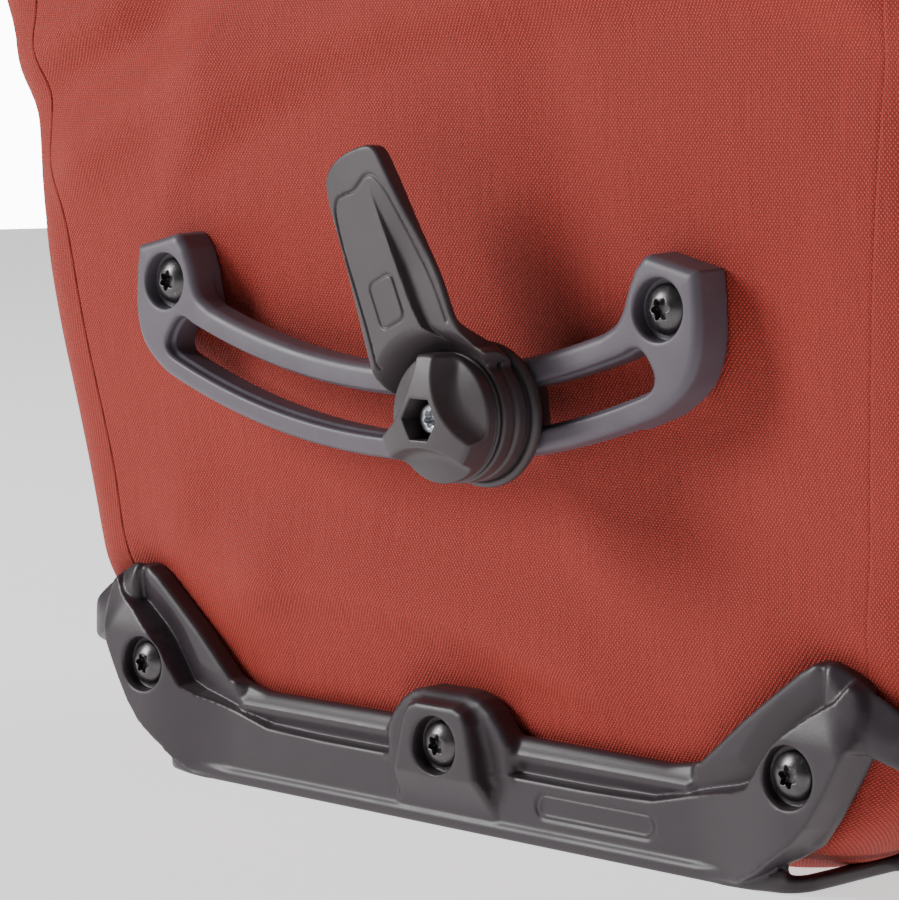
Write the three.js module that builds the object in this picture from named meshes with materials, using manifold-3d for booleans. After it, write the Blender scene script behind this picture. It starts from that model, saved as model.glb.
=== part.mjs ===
// A roll-top bicycle pannier bag with its carrier mounting hardware.
// Millimetres, +Z up. The rack side faces -Y, the street side +Y, and the bag stands on z = 0.
// Heights "out" of the rack side are distances from the plane y = BACK_Y towards -Y.
import * as THREE from 'three';
import { mergeVertices } from 'three/addons/utils/BufferGeometryUtils.js';
import Module from 'manifold-3d';

const wasm = await Module();
wasm.setup();

// ---- driving dimensions -------------------------------------------------------------------

const BACK_Y = -52.6;            // datum plane of the rack side
const GAP = 0.3;                // clearance between touching pieces
const RUN = 0.5;                // running clearance of moving pieces

const BAG_DEPTH = 166;          // from the datum plane to the street side
const BASE_HALF_WIDTH = 121;    // half the width at the floor, but for the pinch
const FLARE = 0.125;            // half-width gained per millimetre of height
const PINCH = 7.5;              // how far the protector holds the lower corners in
const PINCH_FROM = 26;          // the pinch fades out between these heights
const PINCH_TO = 50;
const REAR_RADIUS = 13;         // vertical corners beside the rack side
const STREET_RADIUS = 34;
const FABRIC = 2.4;             // wall of coated fabric with its seams
const TRAY_TOP = 32;            // where the base panel meets the walls
const WALL_TOP = 330;           // where the walls meet the collar
const COLLAR_TOP = 388;
const BULGE = 21;               // how far a packed bag pushes its rack side out
const BULGE_OFFSET = -5;
const BULGE_START = 30;
const BULGE_SPAN = 320;

const SCREW_HEAD_RADIUS = 5.2;  // M6 button heads
const SCREW_RADIUS = 3;
const SCREW_HOLE = 3.45;
const RECESS_RADIUS = 6.3;

const RAIL_CENTRE_Z = 276;      // centre of the lower rail's arc
const RAIL_RADIUS = 184.5;      // middle of its slot
const RAIL_FACE = 22;           // front face, out of the datum plane
const RAIL_BACK = 13.3;
const RAIL_BAR_BACK = 15.8;
const RAIL_SCREW_X = 73;
const RAIL_SCREW_Z = 117.2;
const SLOT_HALF_WIDTH = 4.8;
const UPPER_BAR_WIDTH = 5.4;
const LOWER_BAR_WIDTH = 4.7;
const SLOT_END_ANGLE = 21.8;    // degrees from the middle

const ANCHOR_ANGLE = 9;         // degrees along the slot where the anchor is set
const ANCHOR_FLANGE_RADIUS = 15.2;
const HOOK_TILT = 24.5;         // degrees of the blade from upright

const GUARD_SCREW_X = 96.5;     // edge protector
const GUARD_SCREW_Z = 25.3;
const GUARD_MIDDLE_Z = 18.7;
const GUARD_FACE = 4;
const GUARD_TIER = 9;
const GUARD_BACK = -1;

const TOP_RAIL_Z = 302;
const TOP_RAIL_BACK = 7.5;
const TOP_RAIL_HALF = 112;
const RACK_HOOK_X = 75;
const RACK_HOOK_HALF = 16;
const PIVOT_OUT = 36;           // latch pivot, out of the top rail's back
const PIVOT_Z = 284;
const LATCH_ARM = 14;
const LATCH_REST = 25;          // degrees the latch arm hangs below level

const STRAP_WIDTH = 25;
const STRAP_THICK = 1.8;
const BUCKLE_Z = 262;

const rad = THREE.MathUtils.degToRad;
const GUARD_SCREWS = [
  ['left', -GUARD_SCREW_X, GUARD_SCREW_Z],
  ['middle', 0, GUARD_MIDDLE_Z],
  ['right', GUARD_SCREW_X, GUARD_SCREW_Z],
];
const RAIL_SCREWS = [['left', -RAIL_SCREW_X, RAIL_SCREW_Z], ['right', RAIL_SCREW_X, RAIL_SCREW_Z]];
const TOP_SCREWS = [-103, -30, 30, 103].map((x, i) => [String(i + 1), x, TOP_RAIL_Z]);
const SIDES = [['left', -1], ['right', 1]];

// ---- materials ----------------------------------------------------------------------------

const finish = (color, roughness, metalness = 0) => ({ color, roughness, metalness });
const FINISH = {
  fabric: finish(0xa8382a, 0.75),
  board: finish(0x2a2a2c, 0.6),
  rail: finish(0x57505a, 0.5),
  guard: finish(0x2b2629, 0.5),
  hook: finish(0x322d2c, 0.6),
  black: finish(0x1a1a1b, 0.45),
  steel: finish(0x17171a, 0.35, 0.8),
  zinc: finish(0xc9cccf, 0.3, 1),
  webbing: finish(0x1c1c1e, 0.85),
  reflector: finish(0xb9bcc2, 0.3),
};

const part = new THREE.Group();

function add(name, geometry, look, parent = part) {
  const mesh = new THREE.Mesh(geometry, new THREE.MeshStandardMaterial(FINISH[look]));
  mesh.name = name;
  parent.add(mesh);
  return mesh;
}

// ---- solids -------------------------------------------------------------------------------

function toSolid(geometry) {
  const bare = geometry.clone();
  bare.deleteAttribute('normal');
  bare.deleteAttribute('uv');
  const merged = mergeVertices(bare, 1e-4);
  return new wasm.Manifold(new wasm.Mesh({
    numProp: 3,
    vertProperties: new Float32Array(merged.attributes.position.array),
    triVerts: new Uint32Array(merged.index.array),
  }));
}

function toGeometry(solid) {
  const mesh = solid.getMesh();
  const geometry = new THREE.BufferGeometry();
  geometry.setAttribute('position', new THREE.BufferAttribute(mesh.vertProperties, 3));
  geometry.setIndex(new THREE.BufferAttribute(mesh.triVerts, 1));
  geometry.computeVertexNormals();
  return geometry;
}

const join = (...list) => toGeometry(list.map(toSolid).reduce((a, b) => a.add(b)));
const cut = (base, ...tools) => toGeometry(tools.map(toSolid).reduce((a, b) => a.subtract(b), toSolid(base)));

// A closed outline given as points, with optional holes.
function outline(points, holes = []) {
  const shape = new THREE.Shape(points.map(([a, b]) => new THREE.Vector2(a, b)));
  shape.holes = holes.map((hole) => new THREE.Path(hole.map(([a, b]) => new THREE.Vector2(a, b))));
  return shape;
}

// Points along an arc, angles in degrees.
function arc(cx, cy, radius, from, to, steps) {
  return Array.from({ length: steps + 1 }, (_, i) => {
    const angle = rad(from + (to - from) * i / steps);
    return [cx + radius * Math.cos(angle), cy + radius * Math.sin(angle)];
  });
}

const circle = (cx, cy, radius, steps = 24) => arc(cx, cy, radius, 0, 360, steps).slice(0, -1);

const rectangle = (x0, y0, x1, y1) => [[x0, y0], [x1, y0], [x1, y1], [x0, y1]];

// A smooth run of points through a few given ones.
function smooth(points, steps) {
  const curve = new THREE.SplineCurve(points.map(([a, b]) => new THREE.Vector2(a, b)));
  return curve.getPoints(steps).map((p) => [p.x, p.y]);
}

const mirrored = (points) => points.map(([a, b]) => [-a, b]).reverse();

function extrude(shape, depth, steps = 1) {
  return new THREE.ExtrudeGeometry(shape, { depth, steps, bevelEnabled: false, curveSegments: 8 });
}

// A plate drawn in X and Z, from one height out of the datum plane to another.
function plate(shape, from, to, base = 0) {
  const geometry = extrude(shape, to - from);
  geometry.rotateX(Math.PI / 2);
  geometry.translate(0, BACK_Y - base - from, 0);
  return geometry;
}

// A bar along X whose section is drawn as [out, z].
function barAlongX(section, x0, x1, base = 0) {
  const geometry = extrude(outline(section.map(([out, z]) => [-out, z])), x1 - x0);
  geometry.rotateX(Math.PI / 2);
  geometry.rotateZ(Math.PI / 2);
  geometry.translate(x0, BACK_Y - base, 0);
  return geometry;
}

const rod = (x, z, radius, from, to, base = 0, steps = 24) =>
  plate(outline(circle(x, z, radius, steps)), from, to, base);

// The outline of a strip of even thickness along a smooth path in the plane.
function ribbon(points, thick, steps = 14) {
  const path = smooth(points, steps);
  const offset = (side) => path.map(([a, b], i) => {
    const [a0, b0] = path[Math.max(i - 1, 0)];
    const [a1, b1] = path[Math.min(i + 1, path.length - 1)];
    const length = Math.hypot(a1 - a0, b1 - b0);
    return [a - side * (b1 - b0) / length * thick / 2, b + side * (a1 - a0) / length * thick / 2];
  });
  return outline([...offset(1), ...offset(-1).reverse()]);
}

function warp(geometry, move) {
  const position = geometry.attributes.position;
  const point = new THREE.Vector3();
  for (let i = 0; i < position.count; i += 1) {
    point.fromBufferAttribute(position, i);
    move(point);
    position.setXYZ(i, point.x, point.y, point.z);
  }
  return geometry;
}

// ---- the bag's own surface ----------------------------------------------------------------

const halfWidth = (z) =>
  BASE_HALF_WIDTH + FLARE * z - PINCH * (1 - THREE.MathUtils.smoothstep(z, PINCH_FROM, PINCH_TO));

// How far the rack side's fabric stands out of the datum plane at a height.
function bulgeAt(z) {
  const along = THREE.MathUtils.clamp((z - BULGE_START) / BULGE_SPAN, 0, 1);
  return BULGE_OFFSET + BULGE * Math.sin(Math.PI * along);
}

// A rounded rectangle seen from above, of the bag's width at the floor.
function plan(inset) {
  const w = BASE_HALF_WIDTH - inset;
  const back = BACK_Y + inset;
  const front = BACK_Y + BAG_DEPTH - inset;
  const rear = REAR_RADIUS - inset;
  const street = STREET_RADIUS - inset;
  return [
    ...arc(w - rear, back + rear, rear, -90, 0, 4),
    ...arc(w - street, front - street, street, 0, 90, 6),
    ...arc(-w + street, front - street, street, 90, 180, 6),
    ...arc(-w + rear, back + rear, rear, 180, 270, 4),
  ];
}

// Moves a point of the straight prism over BASE_HALF_WIDTH onto the flared, bulged body.
function ontoBody(point) {
  const nearBack = THREE.MathUtils.clamp(1 - (point.y - BACK_Y) / 60, 0, 1);
  point.y -= bulgeAt(point.z) * nearBack;
  point.x *= halfWidth(point.z) / BASE_HALF_WIDTH;
}

const SEAM_X = BASE_HALF_WIDTH - REAR_RADIUS;   // the wrap panel's edge on the rack side
const PANEL_STEPS = 22;

function holesThrough(geometry, screws, from, to) {
  return cut(geometry, ...screws.map(([, x, z]) => rod(x, z, SCREW_HOLE, from, to, 0, 12)));
}

// A wall drawn from above, raised from the tray to the collar.
function wall(section) {
  const geometry = extrude(outline(section), WALL_TOP - TRAY_TOP - GAP, PANEL_STEPS);
  geometry.translate(0, 0, TRAY_TOP + GAP);
  return warp(geometry, ontoBody);
}

function backPanel() {
  const half = SEAM_X - 2 * GAP;
  const geometry = wall(rectangle(-half, BACK_Y, half, BACK_Y + FABRIC));
  return holesThrough(geometry, [...GUARD_SCREWS, ...RAIL_SCREWS, ...TOP_SCREWS], -30, 25);
}

function wrapPanel() {
  const outer = plan(0);
  const inner = plan(FABRIC);
  return wall([...outer, ...inner.reverse()]);
}

// The base is a shallow tray with rounded lower edges.
function basePanel() {
  const rounding = 38;
  const thicker = 6;            // the tray's rounded edge is doubled fabric
  const round = (point) => {
    const up = THREE.MathUtils.clamp(point.z / TRAY_TOP, 0, 1);
    const inset = rounding * (1 - Math.sqrt(1 - (1 - up) ** 2));
    const centreY = BACK_Y + BAG_DEPTH / 2;
    const side = BASE_HALF_WIDTH;
    const narrower = 1 + 0.6 * THREE.MathUtils.smoothstep(point.y - BACK_Y, 15, 95);
    point.x *= (side - inset * narrower) / side;
    point.y = centreY + (point.y - centreY) * (1 - 0.4 * inset / (BAG_DEPTH / 2));
    ontoBody(point);
  };
  const outer = warp(extrude(outline(plan(0)), TRAY_TOP, 5), round);
  const inner = extrude(outline(plan(thicker)), TRAY_TOP, 4);
  inner.translate(0, 0, FABRIC);
  warp(inner, round);
  const tray = cut(outer, inner);
  return holesThrough(tray, GUARD_SCREWS, -30, 12);
}

// Above the walls the fabric closes to a flat sleeve that carries the roll.
function collar() {
  const geometry = extrude(outline(plan(0)), COLLAR_TOP - WALL_TOP - GAP, 4);
  geometry.translate(0, 0, WALL_TOP + GAP);
  const centreY = BACK_Y + BAG_DEPTH * 0.5;
  return warp(geometry, (point) => {
    const up = (point.z - WALL_TOP) / (COLLAR_TOP - WALL_TOP);
    const squeeze = 1 - 0.94 * Math.min(1, up * 1.02);
    const narrow = 1 - 0.05 * up;
    point.y -= bulgeAt(WALL_TOP) * (1 - up) * THREE.MathUtils.clamp(1 - (point.y - BACK_Y) / 60, 0, 1);
    point.y = centreY + (point.y - centreY) * squeeze;
    point.x *= narrow * halfWidth(WALL_TOP) / BASE_HALF_WIDTH;
  });
}

const ROLL_Y = BACK_Y + BAG_DEPTH * 0.5;
const ROLL_HALF = 152;
const ROLL_CENTRE_Z = COLLAR_TOP + 16;

function stadium(cx, cy, halfLength, radius, steps = 8) {
  return [
    ...arc(cx, cy + halfLength, radius, 0, 180, steps),
    ...arc(cx, cy - halfLength, radius, 180, 360, steps),
  ];
}

function alongX(shape, x0, x1) {
  const geometry = extrude(shape, x1 - x0);
  geometry.rotateX(Math.PI / 2);
  geometry.rotateZ(Math.PI / 2);
  geometry.translate(x0, 0, 0);
  return geometry;
}

function rollTop() {
  const opening = rectangle(ROLL_Y - 1.6, ROLL_CENTRE_Z - 10.3, ROLL_Y + 1.6, ROLL_CENTRE_Z + 10.3);
  const section = outline(stadium(ROLL_Y, ROLL_CENTRE_Z, 3, 12.6), [opening]);
  return alongX(section, -ROLL_HALF, ROLL_HALF);
}

function closureBatten() {
  return alongX(outline(rectangle(ROLL_Y - 1.2, ROLL_CENTRE_Z - 10, ROLL_Y + 1.2, ROLL_CENTRE_Z + 10)),
    -ROLL_HALF + 1, ROLL_HALF - 1);
}

// ---- inner pieces -------------------------------------------------------------------------

const BOARD_THICK = 2;
const BOARD_GAP = 0.8;

// The stiffening board follows the rack side just inside the fabric.
function backBoard() {
  const lower = 36;
  const upper = 322;
  const slab = extrude(outline(rectangle(-72, 0, 72, BOARD_THICK)), upper - lower, 12);
  slab.translate(0, BACK_Y + FABRIC + BOARD_GAP, lower);
  warp(slab, ontoBody);
  return holesThrough(slab, [...RAIL_SCREWS, ...TOP_SCREWS], -16, 25);
}

function innerPocket() {
  const sheet = extrude(outline(rectangle(-60, 0, 60, 8)), 120, 4);
  sheet.translate(0, BACK_Y + FABRIC + BOARD_GAP + BOARD_THICK + 9, 150);
  return warp(sheet, ontoBody);
}

// ---- fasteners ----------------------------------------------------------------------------

function sixLobe(radius) {
  return Array.from({ length: 12 }, (_, i) => {
    const angle = rad(30 * i);
    const r = radius * (0.88 + 0.12 * Math.cos(6 * angle));
    return [r * Math.cos(angle), r * Math.sin(angle)];
  });
}

// A button-head screw along -Y whose head seats at a height out of the datum plane.
function screw(x, z, seat, length) {
  const headHeight = 2.75;
  const profile = [
    [0, -length], [SCREW_RADIUS, -length], [SCREW_RADIUS, 0], [SCREW_HEAD_RADIUS, 0],
    [SCREW_HEAD_RADIUS, 0.9], [3.9, 2.1], [2.6, headHeight], [0, headHeight],
  ];
  const body = new THREE.LatheGeometry(profile.map(([r, y]) => new THREE.Vector2(r, y)), 14);
  const socket = extrude(outline(sixLobe(2.1)), 2);
  socket.rotateX(-Math.PI / 2);
  socket.translate(0, headHeight - 1.6, 0);
  const whole = cut(body, socket);
  whole.rotateX(Math.PI);
  whole.translate(x, BACK_Y - seat, z);
  return whole;
}

function nut(x, z, inner, thick = 4) {
  const hex = outline(circle(x, z, 5.6, 6), [circle(x, z, SCREW_HOLE, 12)]);
  return plate(hex, inner - thick, inner);
}

function addScrews(prefix, screws, seat, nutFaceAt) {
  for (const [side, x, z] of screws) {
    const nutFace = nutFaceAt(x, z);
    add(`${prefix}_screw_${side}`, screw(x, z, seat, seat - nutFace + 5), 'steel');
    add(`${prefix}_nut_${side}`, nut(x, z, nutFace), 'zinc');
  }
}

// ---- lower rail ---------------------------------------------------------------------------

const UPPER_R = RAIL_RADIUS - SLOT_HALF_WIDTH - UPPER_BAR_WIDTH;
const LOWER_R = RAIL_RADIUS + SLOT_HALF_WIDTH + LOWER_BAR_WIDTH;
const railArc = (radius, from, to, steps) => arc(0, RAIL_CENTRE_Z, radius, from - 90, to - 90, steps);

// Right-hand boss: up from the lower bar round the screw and back to the upper bar.
const BOSS_OUTSIDE = [
  [76.3, 98.3], [80, 102], [82.4, 106.6], [83.3, 113.5],
  [82.6, 124.6], [70.8, 128], [67.4, 126.6], [61.8, 114.2],
];
const BOSS_INSIDE = [[62, 114.4], [66, 109.6], [70.8, 107.4], [72.8, 103.2], [71, 99.8]];
const BOSS_ONLY = [...BOSS_INSIDE, ...BOSS_OUTSIDE.slice(0, -1)];

function lowerRail() {
  const upperEnd = 19.6;        // degrees from the middle to where the bars meet the bosses
  const lowerEnd = 21.5;
  const slotSkew = 0.8;         // the slot's ends slant by this much
  const face = outline([
    ...railArc(LOWER_R, -lowerEnd, lowerEnd, 28),
    ...BOSS_OUTSIDE,
    ...railArc(UPPER_R, upperEnd, -upperEnd, 24),
    ...mirrored(BOSS_OUTSIDE),
  ]);
  const slot = outline([
    ...railArc(RAIL_RADIUS + SLOT_HALF_WIDTH, -SLOT_END_ANGLE, SLOT_END_ANGLE, 24),
    ...railArc(RAIL_RADIUS - SLOT_HALF_WIDTH, SLOT_END_ANGLE - slotSkew, slotSkew - SLOT_END_ANGLE, 24),
  ]);
  const bars = plate(face, RAIL_BAR_BACK, RAIL_FACE);
  const bosses = [BOSS_ONLY, mirrored(BOSS_ONLY)];
  const feet = bosses.map((side) => plate(outline(side), RAIL_BACK, RAIL_BAR_BACK + 1));
  const body = join(bars, ...feet);
  const tools = [plate(slot, RAIL_BAR_BACK - 4, RAIL_FACE + 1)];
  for (const [, x, z] of RAIL_SCREWS) {
    tools.push(rod(x, z, RECESS_RADIUS, RAIL_FACE - 3.6, RAIL_FACE + 1));
    tools.push(rod(x, z, SCREW_HOLE, RAIL_BACK - 1, RAIL_FACE));
  }
  return cut(body, ...tools);
}

// ---- anchor: carriage, hook, knob and bolt ------------------------------------------------

const FOOT = [10.6, 15.3];
const FLANGE = [RAIL_FACE + 0.4, 25.3];
const HUB = [25.7, 33];
const KNOB = [33.4, 44];
const BLADE = [36.6, 41];
const FOOT_HALF_ANGLE = 2;      // half-lengths of the carriage's foot and stem along the slot
const STEM_HALF_ANGLE = 1.9;
const BOLT_RADIUS = 2.9;
const BOLT_HOLE = 3.4;
const HUB_HOLE = 5.2;
const anchorAngle = rad(ANCHOR_ANGLE);
const ANCHOR_X = RAIL_RADIUS * Math.sin(anchorAngle);
const ANCHOR_Z = RAIL_CENTRE_Z - RAIL_RADIUS * Math.cos(anchorAngle);

// A block that follows the slot, centred on the anchor.
function slotBlock(halfAngle, halfHeight, from, to) {
  const middle = ANCHOR_ANGLE;
  const shape = outline([
    ...railArc(RAIL_RADIUS + halfHeight, middle - halfAngle, middle + halfAngle, 8),
    ...railArc(RAIL_RADIUS - halfHeight, middle + halfAngle, middle - halfAngle, 8),
  ]);
  return plate(shape, from, to);
}

function anchorCarriage() {
  const foot = slotBlock(FOOT_HALF_ANGLE, 7.2, ...FOOT);
  const stem = slotBlock(STEM_HALF_ANGLE, SLOT_HALF_WIDTH - RUN, FOOT[1] - 0.5, FLANGE[0] + 0.5);
  const flange = rod(ANCHOR_X, ANCHOR_Z, ANCHOR_FLANGE_RADIUS, ...FLANGE, 0, 40);
  const bore = rod(ANCHOR_X, ANCHOR_Z, BOLT_HOLE, FOOT[0] + 2, 30, 0, 16);
  return cut(join(foot, stem, flange), bore);
}

// The blade's outline with the pivot at the origin and the tip straight up.
const BLADE_RIGHT = [[12.4, 17], [12, 26.8], [10.5, 37.7], [8.8, 51.4]];
const BLADE_TOP = [[7.4, 56.5], [3.6, 58.3], [-2.5, 58.5], [-7.2, 56.6]];
const BLADE_LEFT = [[-9.1, 51.7], [-10, 37.3], [-11.2, 24.3], [-12, 17]];

function anchorHook() {
  const hubRadius = 13.6;
  const blade = plate(outline([...BLADE_RIGHT, ...BLADE_TOP, ...BLADE_LEFT]), ...BLADE);
  const rampSection = [
    [HUB[0], 9.5], [HUB[0], 14], [BLADE[0], 20.5], [BLADE[0], 24],
    [BLADE[1], 24], [BLADE[1], 18.5], [HUB[1], 13.7], [HUB[1], 9.5],
  ];
  const ramp = barAlongX(rampSection, -11.6, 11.2);
  const hub = rod(0, 0, hubRadius, ...HUB, 0, 36);
  const bore = rod(0, 0, HUB_HOLE, HUB[0] - 1, HUB[1] + 1);
  const whole = cut(join(blade, ramp, hub), bore);
  whole.translate(0, -BACK_Y, 0);
  whole.rotateY(-rad(HOOK_TILT));
  whole.translate(ANCHOR_X, BACK_Y, ANCHOR_Z);
  return whole;
}

const HEX_RADIUS = 4.8;
const KNOB_RADIUS = 13;
const ARM_ROOT = 6.4;           // how near the scoops come to the knob's axis

// The knob has a round base and three arms left between scooped sides.
function anchorKnob() {
  const base = rod(0, 0, KNOB_RADIUS, KNOB[0], KNOB[0] + 4, 0, 36);
  const armed = Array.from({ length: 72 }, (_, i) => {
    const angle = rad(5 * i);
    const lobe = 0.5 + 0.5 * Math.cos(3 * (angle - rad(90)));
    const r = ARM_ROOT + (KNOB_RADIUS - ARM_ROOT) * lobe ** 0.8;
    return [r * Math.cos(angle), r * Math.sin(angle)];
  });
  const arms = plate(outline(armed), KNOB[0] + 3, KNOB[1]);
  const well = plate(outline(circle(0, 0, HEX_RADIUS, 6)), KNOB[0] + 3, KNOB[1] + 1);
  const bore = rod(0, 0, BOLT_HOLE, KNOB[0] - 1, KNOB[1], 0, 16);
  const whole = cut(join(base, arms), well, bore);
  whole.translate(0, -BACK_Y, 0);
  whole.translate(ANCHOR_X, BACK_Y, ANCHOR_Z);
  return whole;
}

function anchorBolt() {
  const shank = rod(ANCHOR_X, ANCHOR_Z, BOLT_RADIUS, FOOT[0] + 2.3, KNOB[1] - 4, 0, 20);
  const socket = plate(outline(sixLobe(1.7)), KNOB[1] - 6, KNOB[1] - 3);
  socket.translate(ANCHOR_X, 0, ANCHOR_Z);
  return cut(shank, socket);
}

// ---- edge protector -----------------------------------------------------------------------

// Right-hand wing and its raised tier, and half of the middle boss, at x and z.
const WING_TOP = [
  [60, 21.8], [70.4, 24.2], [76, 29.4], [87.3, 39.1],
  [95.6, 45.7], [99.2, 47.8], [102.2, 47.9], [105.5, 46.6],
];
const BAND_TOP = [[112, 42.6], [114, 40]];
const WING_END = [[113.4, 34], [111.6, 31], [108.4, 25], [103.8, 17], [99, 10.6], [95, 5]];
const INNER_TIER = [
  [81.6, 21.2], [91, 29.2], [97, 34.8], [101.5, 38.6], [105.8, 41.3], [108.5, 40.8], [112.4, 36.2],
  [111.6, 34.2], [109, 28.8], [101.8, 15.8], [96.8, 9.9], [92.6, 6.6], [88, 8],
];
const MIDDLE_OUTER = [[8.6, 30.9], [13, 28.4], [17.5, 22], [19, 16]];
const MIDDLE_INNER = [[6, 28.4], [9.6, 24.8], [11.4, 14], [8, 11.5]];

// The long bar's section: lip, face, ledge and bead.
const GUARD_SECTION = [
  [GUARD_BACK - 3, 0], [5.2, 0], [5.2, 2.4], [GUARD_FACE, 3], [GUARD_FACE, 14.2], [2.6, 15.4], [2.2, 17.6],
  [2.2, 19.6], [0.9, 21.6], [GUARD_BACK, 22],
];

// The eyelet: a band and a lip seen from above, at x and distance behind the datum plane.
const BAND_PATH = [
  [104, -2.4], [110, -2.8], [115.5, -2.2], [119.8, 0], [122.8, 4.5], [124, 11],
  [123.6, 19], [122.8, 27], [121.8, 36],
];
const BAND_THICK = 3.2;
const BAND_HEIGHT = 9;
const BAND_FOOT = 35.4;         // height of the band's lower edge at its front end
const BAND_FALL = 0.5;          // how fast it falls towards the corner
const LIP_PATH = [[82, -3.2], [88, -3], [92.6, -0.8], [93.8, 4], [94, 14], [94.2, 24], [95, 35]];
const LIP_THICK = 3.4;
const LIP_HEIGHT = 2.6;
// The rib between their rear ends, at x and z.
const RIB_PATH = [[93.6, 1.9], [100, 2.8], [106, 5.2], [112.5, 9.8], [118.5, 17], [121.8, 25.5]];
const RIB_DEPTH = [-36.5, -31];

// The wing's outer band turns round the corner; a rib under the bag's edge ties it to the lip behind.
function eyelet() {
  const steps = 18;
  const band = extrude(ribbon(BAND_PATH, BAND_THICK, steps), BAND_HEIGHT);
  warp(band, (point) => {
    point.z += BAND_FOOT - BAND_FALL * (point.x - BAND_PATH[0][0]) - 0.06 * Math.max(0, point.y);
  });
  const lip = extrude(ribbon(LIP_PATH, LIP_THICK, steps), LIP_HEIGHT);
  warp(lip, (point) => { point.z += 0.1 + 0.0015 * Math.max(0, point.y - 12) ** 2; });
  [band, lip].forEach((geometry) => geometry.translate(0, BACK_Y, 0));
  const rib = plate(ribbon(RIB_PATH, BAND_THICK, steps), ...RIB_DEPTH);
  return [band, lip, rib];
}

// A copy on the other side of the bag.
function mirroredCopy(geometry) {
  const copy = (geometry.index ? geometry.toNonIndexed() : geometry.clone());
  copy.scale(-1, 1, 1);
  const position = copy.attributes.position;
  const a = new THREE.Vector3();
  const b = new THREE.Vector3();
  for (let i = 0; i < position.count; i += 3) {
    a.fromBufferAttribute(position, i);
    b.fromBufferAttribute(position, i + 1);
    position.setXYZ(i, b.x, b.y, b.z);
    position.setXYZ(i + 1, a.x, a.y, a.z);
  }
  return copy;
}

function edgeProtector() {
  const bar = barAlongX(GUARD_SECTION, -88, 88);
  const wing = [[62, 16], ...WING_TOP, ...BAND_TOP, ...WING_END, [84, 3], [62, 3]].reverse();
  const wings = [wing, mirrored(wing)].map((side) => plate(outline(side), GUARD_BACK, GUARD_FACE));
  const tierSides = [INNER_TIER, mirrored(INNER_TIER)];
  const tiers = tierSides.map((side) => plate(outline(side), GUARD_FACE - 1, GUARD_TIER));
  const [outer, inner] = [MIDDLE_OUTER, MIDDLE_INNER].map((half) => outline([...mirrored(half), ...half]));
  const middle = [plate(outer, GUARD_BACK, 5.6), plate(inner, 2, GUARD_TIER)];
  const body = join(bar, ...wings, ...tiers, ...middle, ...eyelet(), ...eyelet().map(mirroredCopy));
  const [badgeX, badgeZ] = [42.5, 8.7];
  const badge = outline(stadium(0, 0, 13.8, 2.9, 8).map(([a, b]) => [badgeX + b, badgeZ + a]));
  const tools = [plate(badge, GUARD_FACE - 0.5, GUARD_FACE + 2)];
  for (const [, x, z] of GUARD_SCREWS) {
    tools.push(rod(x, z, RECESS_RADIUS, GUARD_TIER - 3.4, GUARD_TIER + 1));
    tools.push(rod(x, z, SCREW_HOLE, -9, GUARD_TIER, 0, 12));
  }
  return cut(body, ...tools);
}

// ---- upper rail, rack hooks, latches and handle -------------------------------------------

const PLATE_BACK = 5;
const PLATE_FRONT = 8;

function upperRail() {
  const half = 12;
  const foot = 7;
  const section = [
    [0, TOP_RAIL_Z - foot], [PLATE_BACK, TOP_RAIL_Z - foot], [PLATE_BACK, TOP_RAIL_Z - half],
    [PLATE_FRONT, TOP_RAIL_Z - half], [PLATE_FRONT, TOP_RAIL_Z + half], [PLATE_BACK, TOP_RAIL_Z + half],
    [PLATE_BACK, TOP_RAIL_Z + foot], [0, TOP_RAIL_Z + foot],
  ];
  const body = barAlongX(section, -TOP_RAIL_HALF, TOP_RAIL_HALF, TOP_RAIL_BACK);
  const tools = TOP_SCREWS.flatMap(([, x, z]) => [
    rod(x, z, 5.4, PLATE_BACK, PLATE_FRONT + 1, TOP_RAIL_BACK),
    rod(x, z, SCREW_HOLE, -1, PLATE_FRONT, TOP_RAIL_BACK, 12),
  ]);
  return cut(body, ...tools);
}

function railCap(side) {
  const x0 = side * (TOP_RAIL_HALF + GAP);
  const x1 = side * (TOP_RAIL_HALF + 6);
  const section = rectangle(0, TOP_RAIL_Z - 13.5, 9.5, TOP_RAIL_Z + 13.5);
  return barAlongX(section, Math.min(x0, x1), Math.max(x0, x1), TOP_RAIL_BACK);
}

const THROAT_OUT = 22;          // middle of the hook's throat
const THROAT_Z = 300;
const THROAT_RADIUS = 9.5;

function rackHook(side) {
  const channel = { back: PLATE_BACK - RUN, front: PLATE_FRONT + RUN, half: 12 + RUN };
  const lipBack = 1.4;
  const section = [
    [lipBack, 293.2], [lipBack, 286.4], [THROAT_OUT - THROAT_RADIUS, 286.4],
    ...arc(THROAT_OUT, THROAT_Z, THROAT_RADIUS, 180, 0, 10),
    [31.8, 290], [31.6, 284], ...arc(PIVOT_OUT, PIVOT_Z, 4.4, 180, 360, 8), [40.6, 300], [40.2, 309],
    [37, 315], [31, 318], [lipBack, 318], [lipBack, 310.8], [channel.back, 310.8],
    [channel.back, TOP_RAIL_Z + channel.half], [channel.front, TOP_RAIL_Z + channel.half],
    [channel.front, TOP_RAIL_Z - channel.half], [channel.back, TOP_RAIL_Z - channel.half],
    [channel.back, 293.2],
  ];
  const x = side * RACK_HOOK_X;
  const body = barAlongX(section.reverse(), x - RACK_HOOK_HALF, x + RACK_HOOK_HALF, TOP_RAIL_BACK);
  const pinHole = barAlongX(circle(PIVOT_OUT, PIVOT_Z, 2.3, 16), x - 30, x + 30, TOP_RAIL_BACK);
  return cut(body, pinHole);
}

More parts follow.
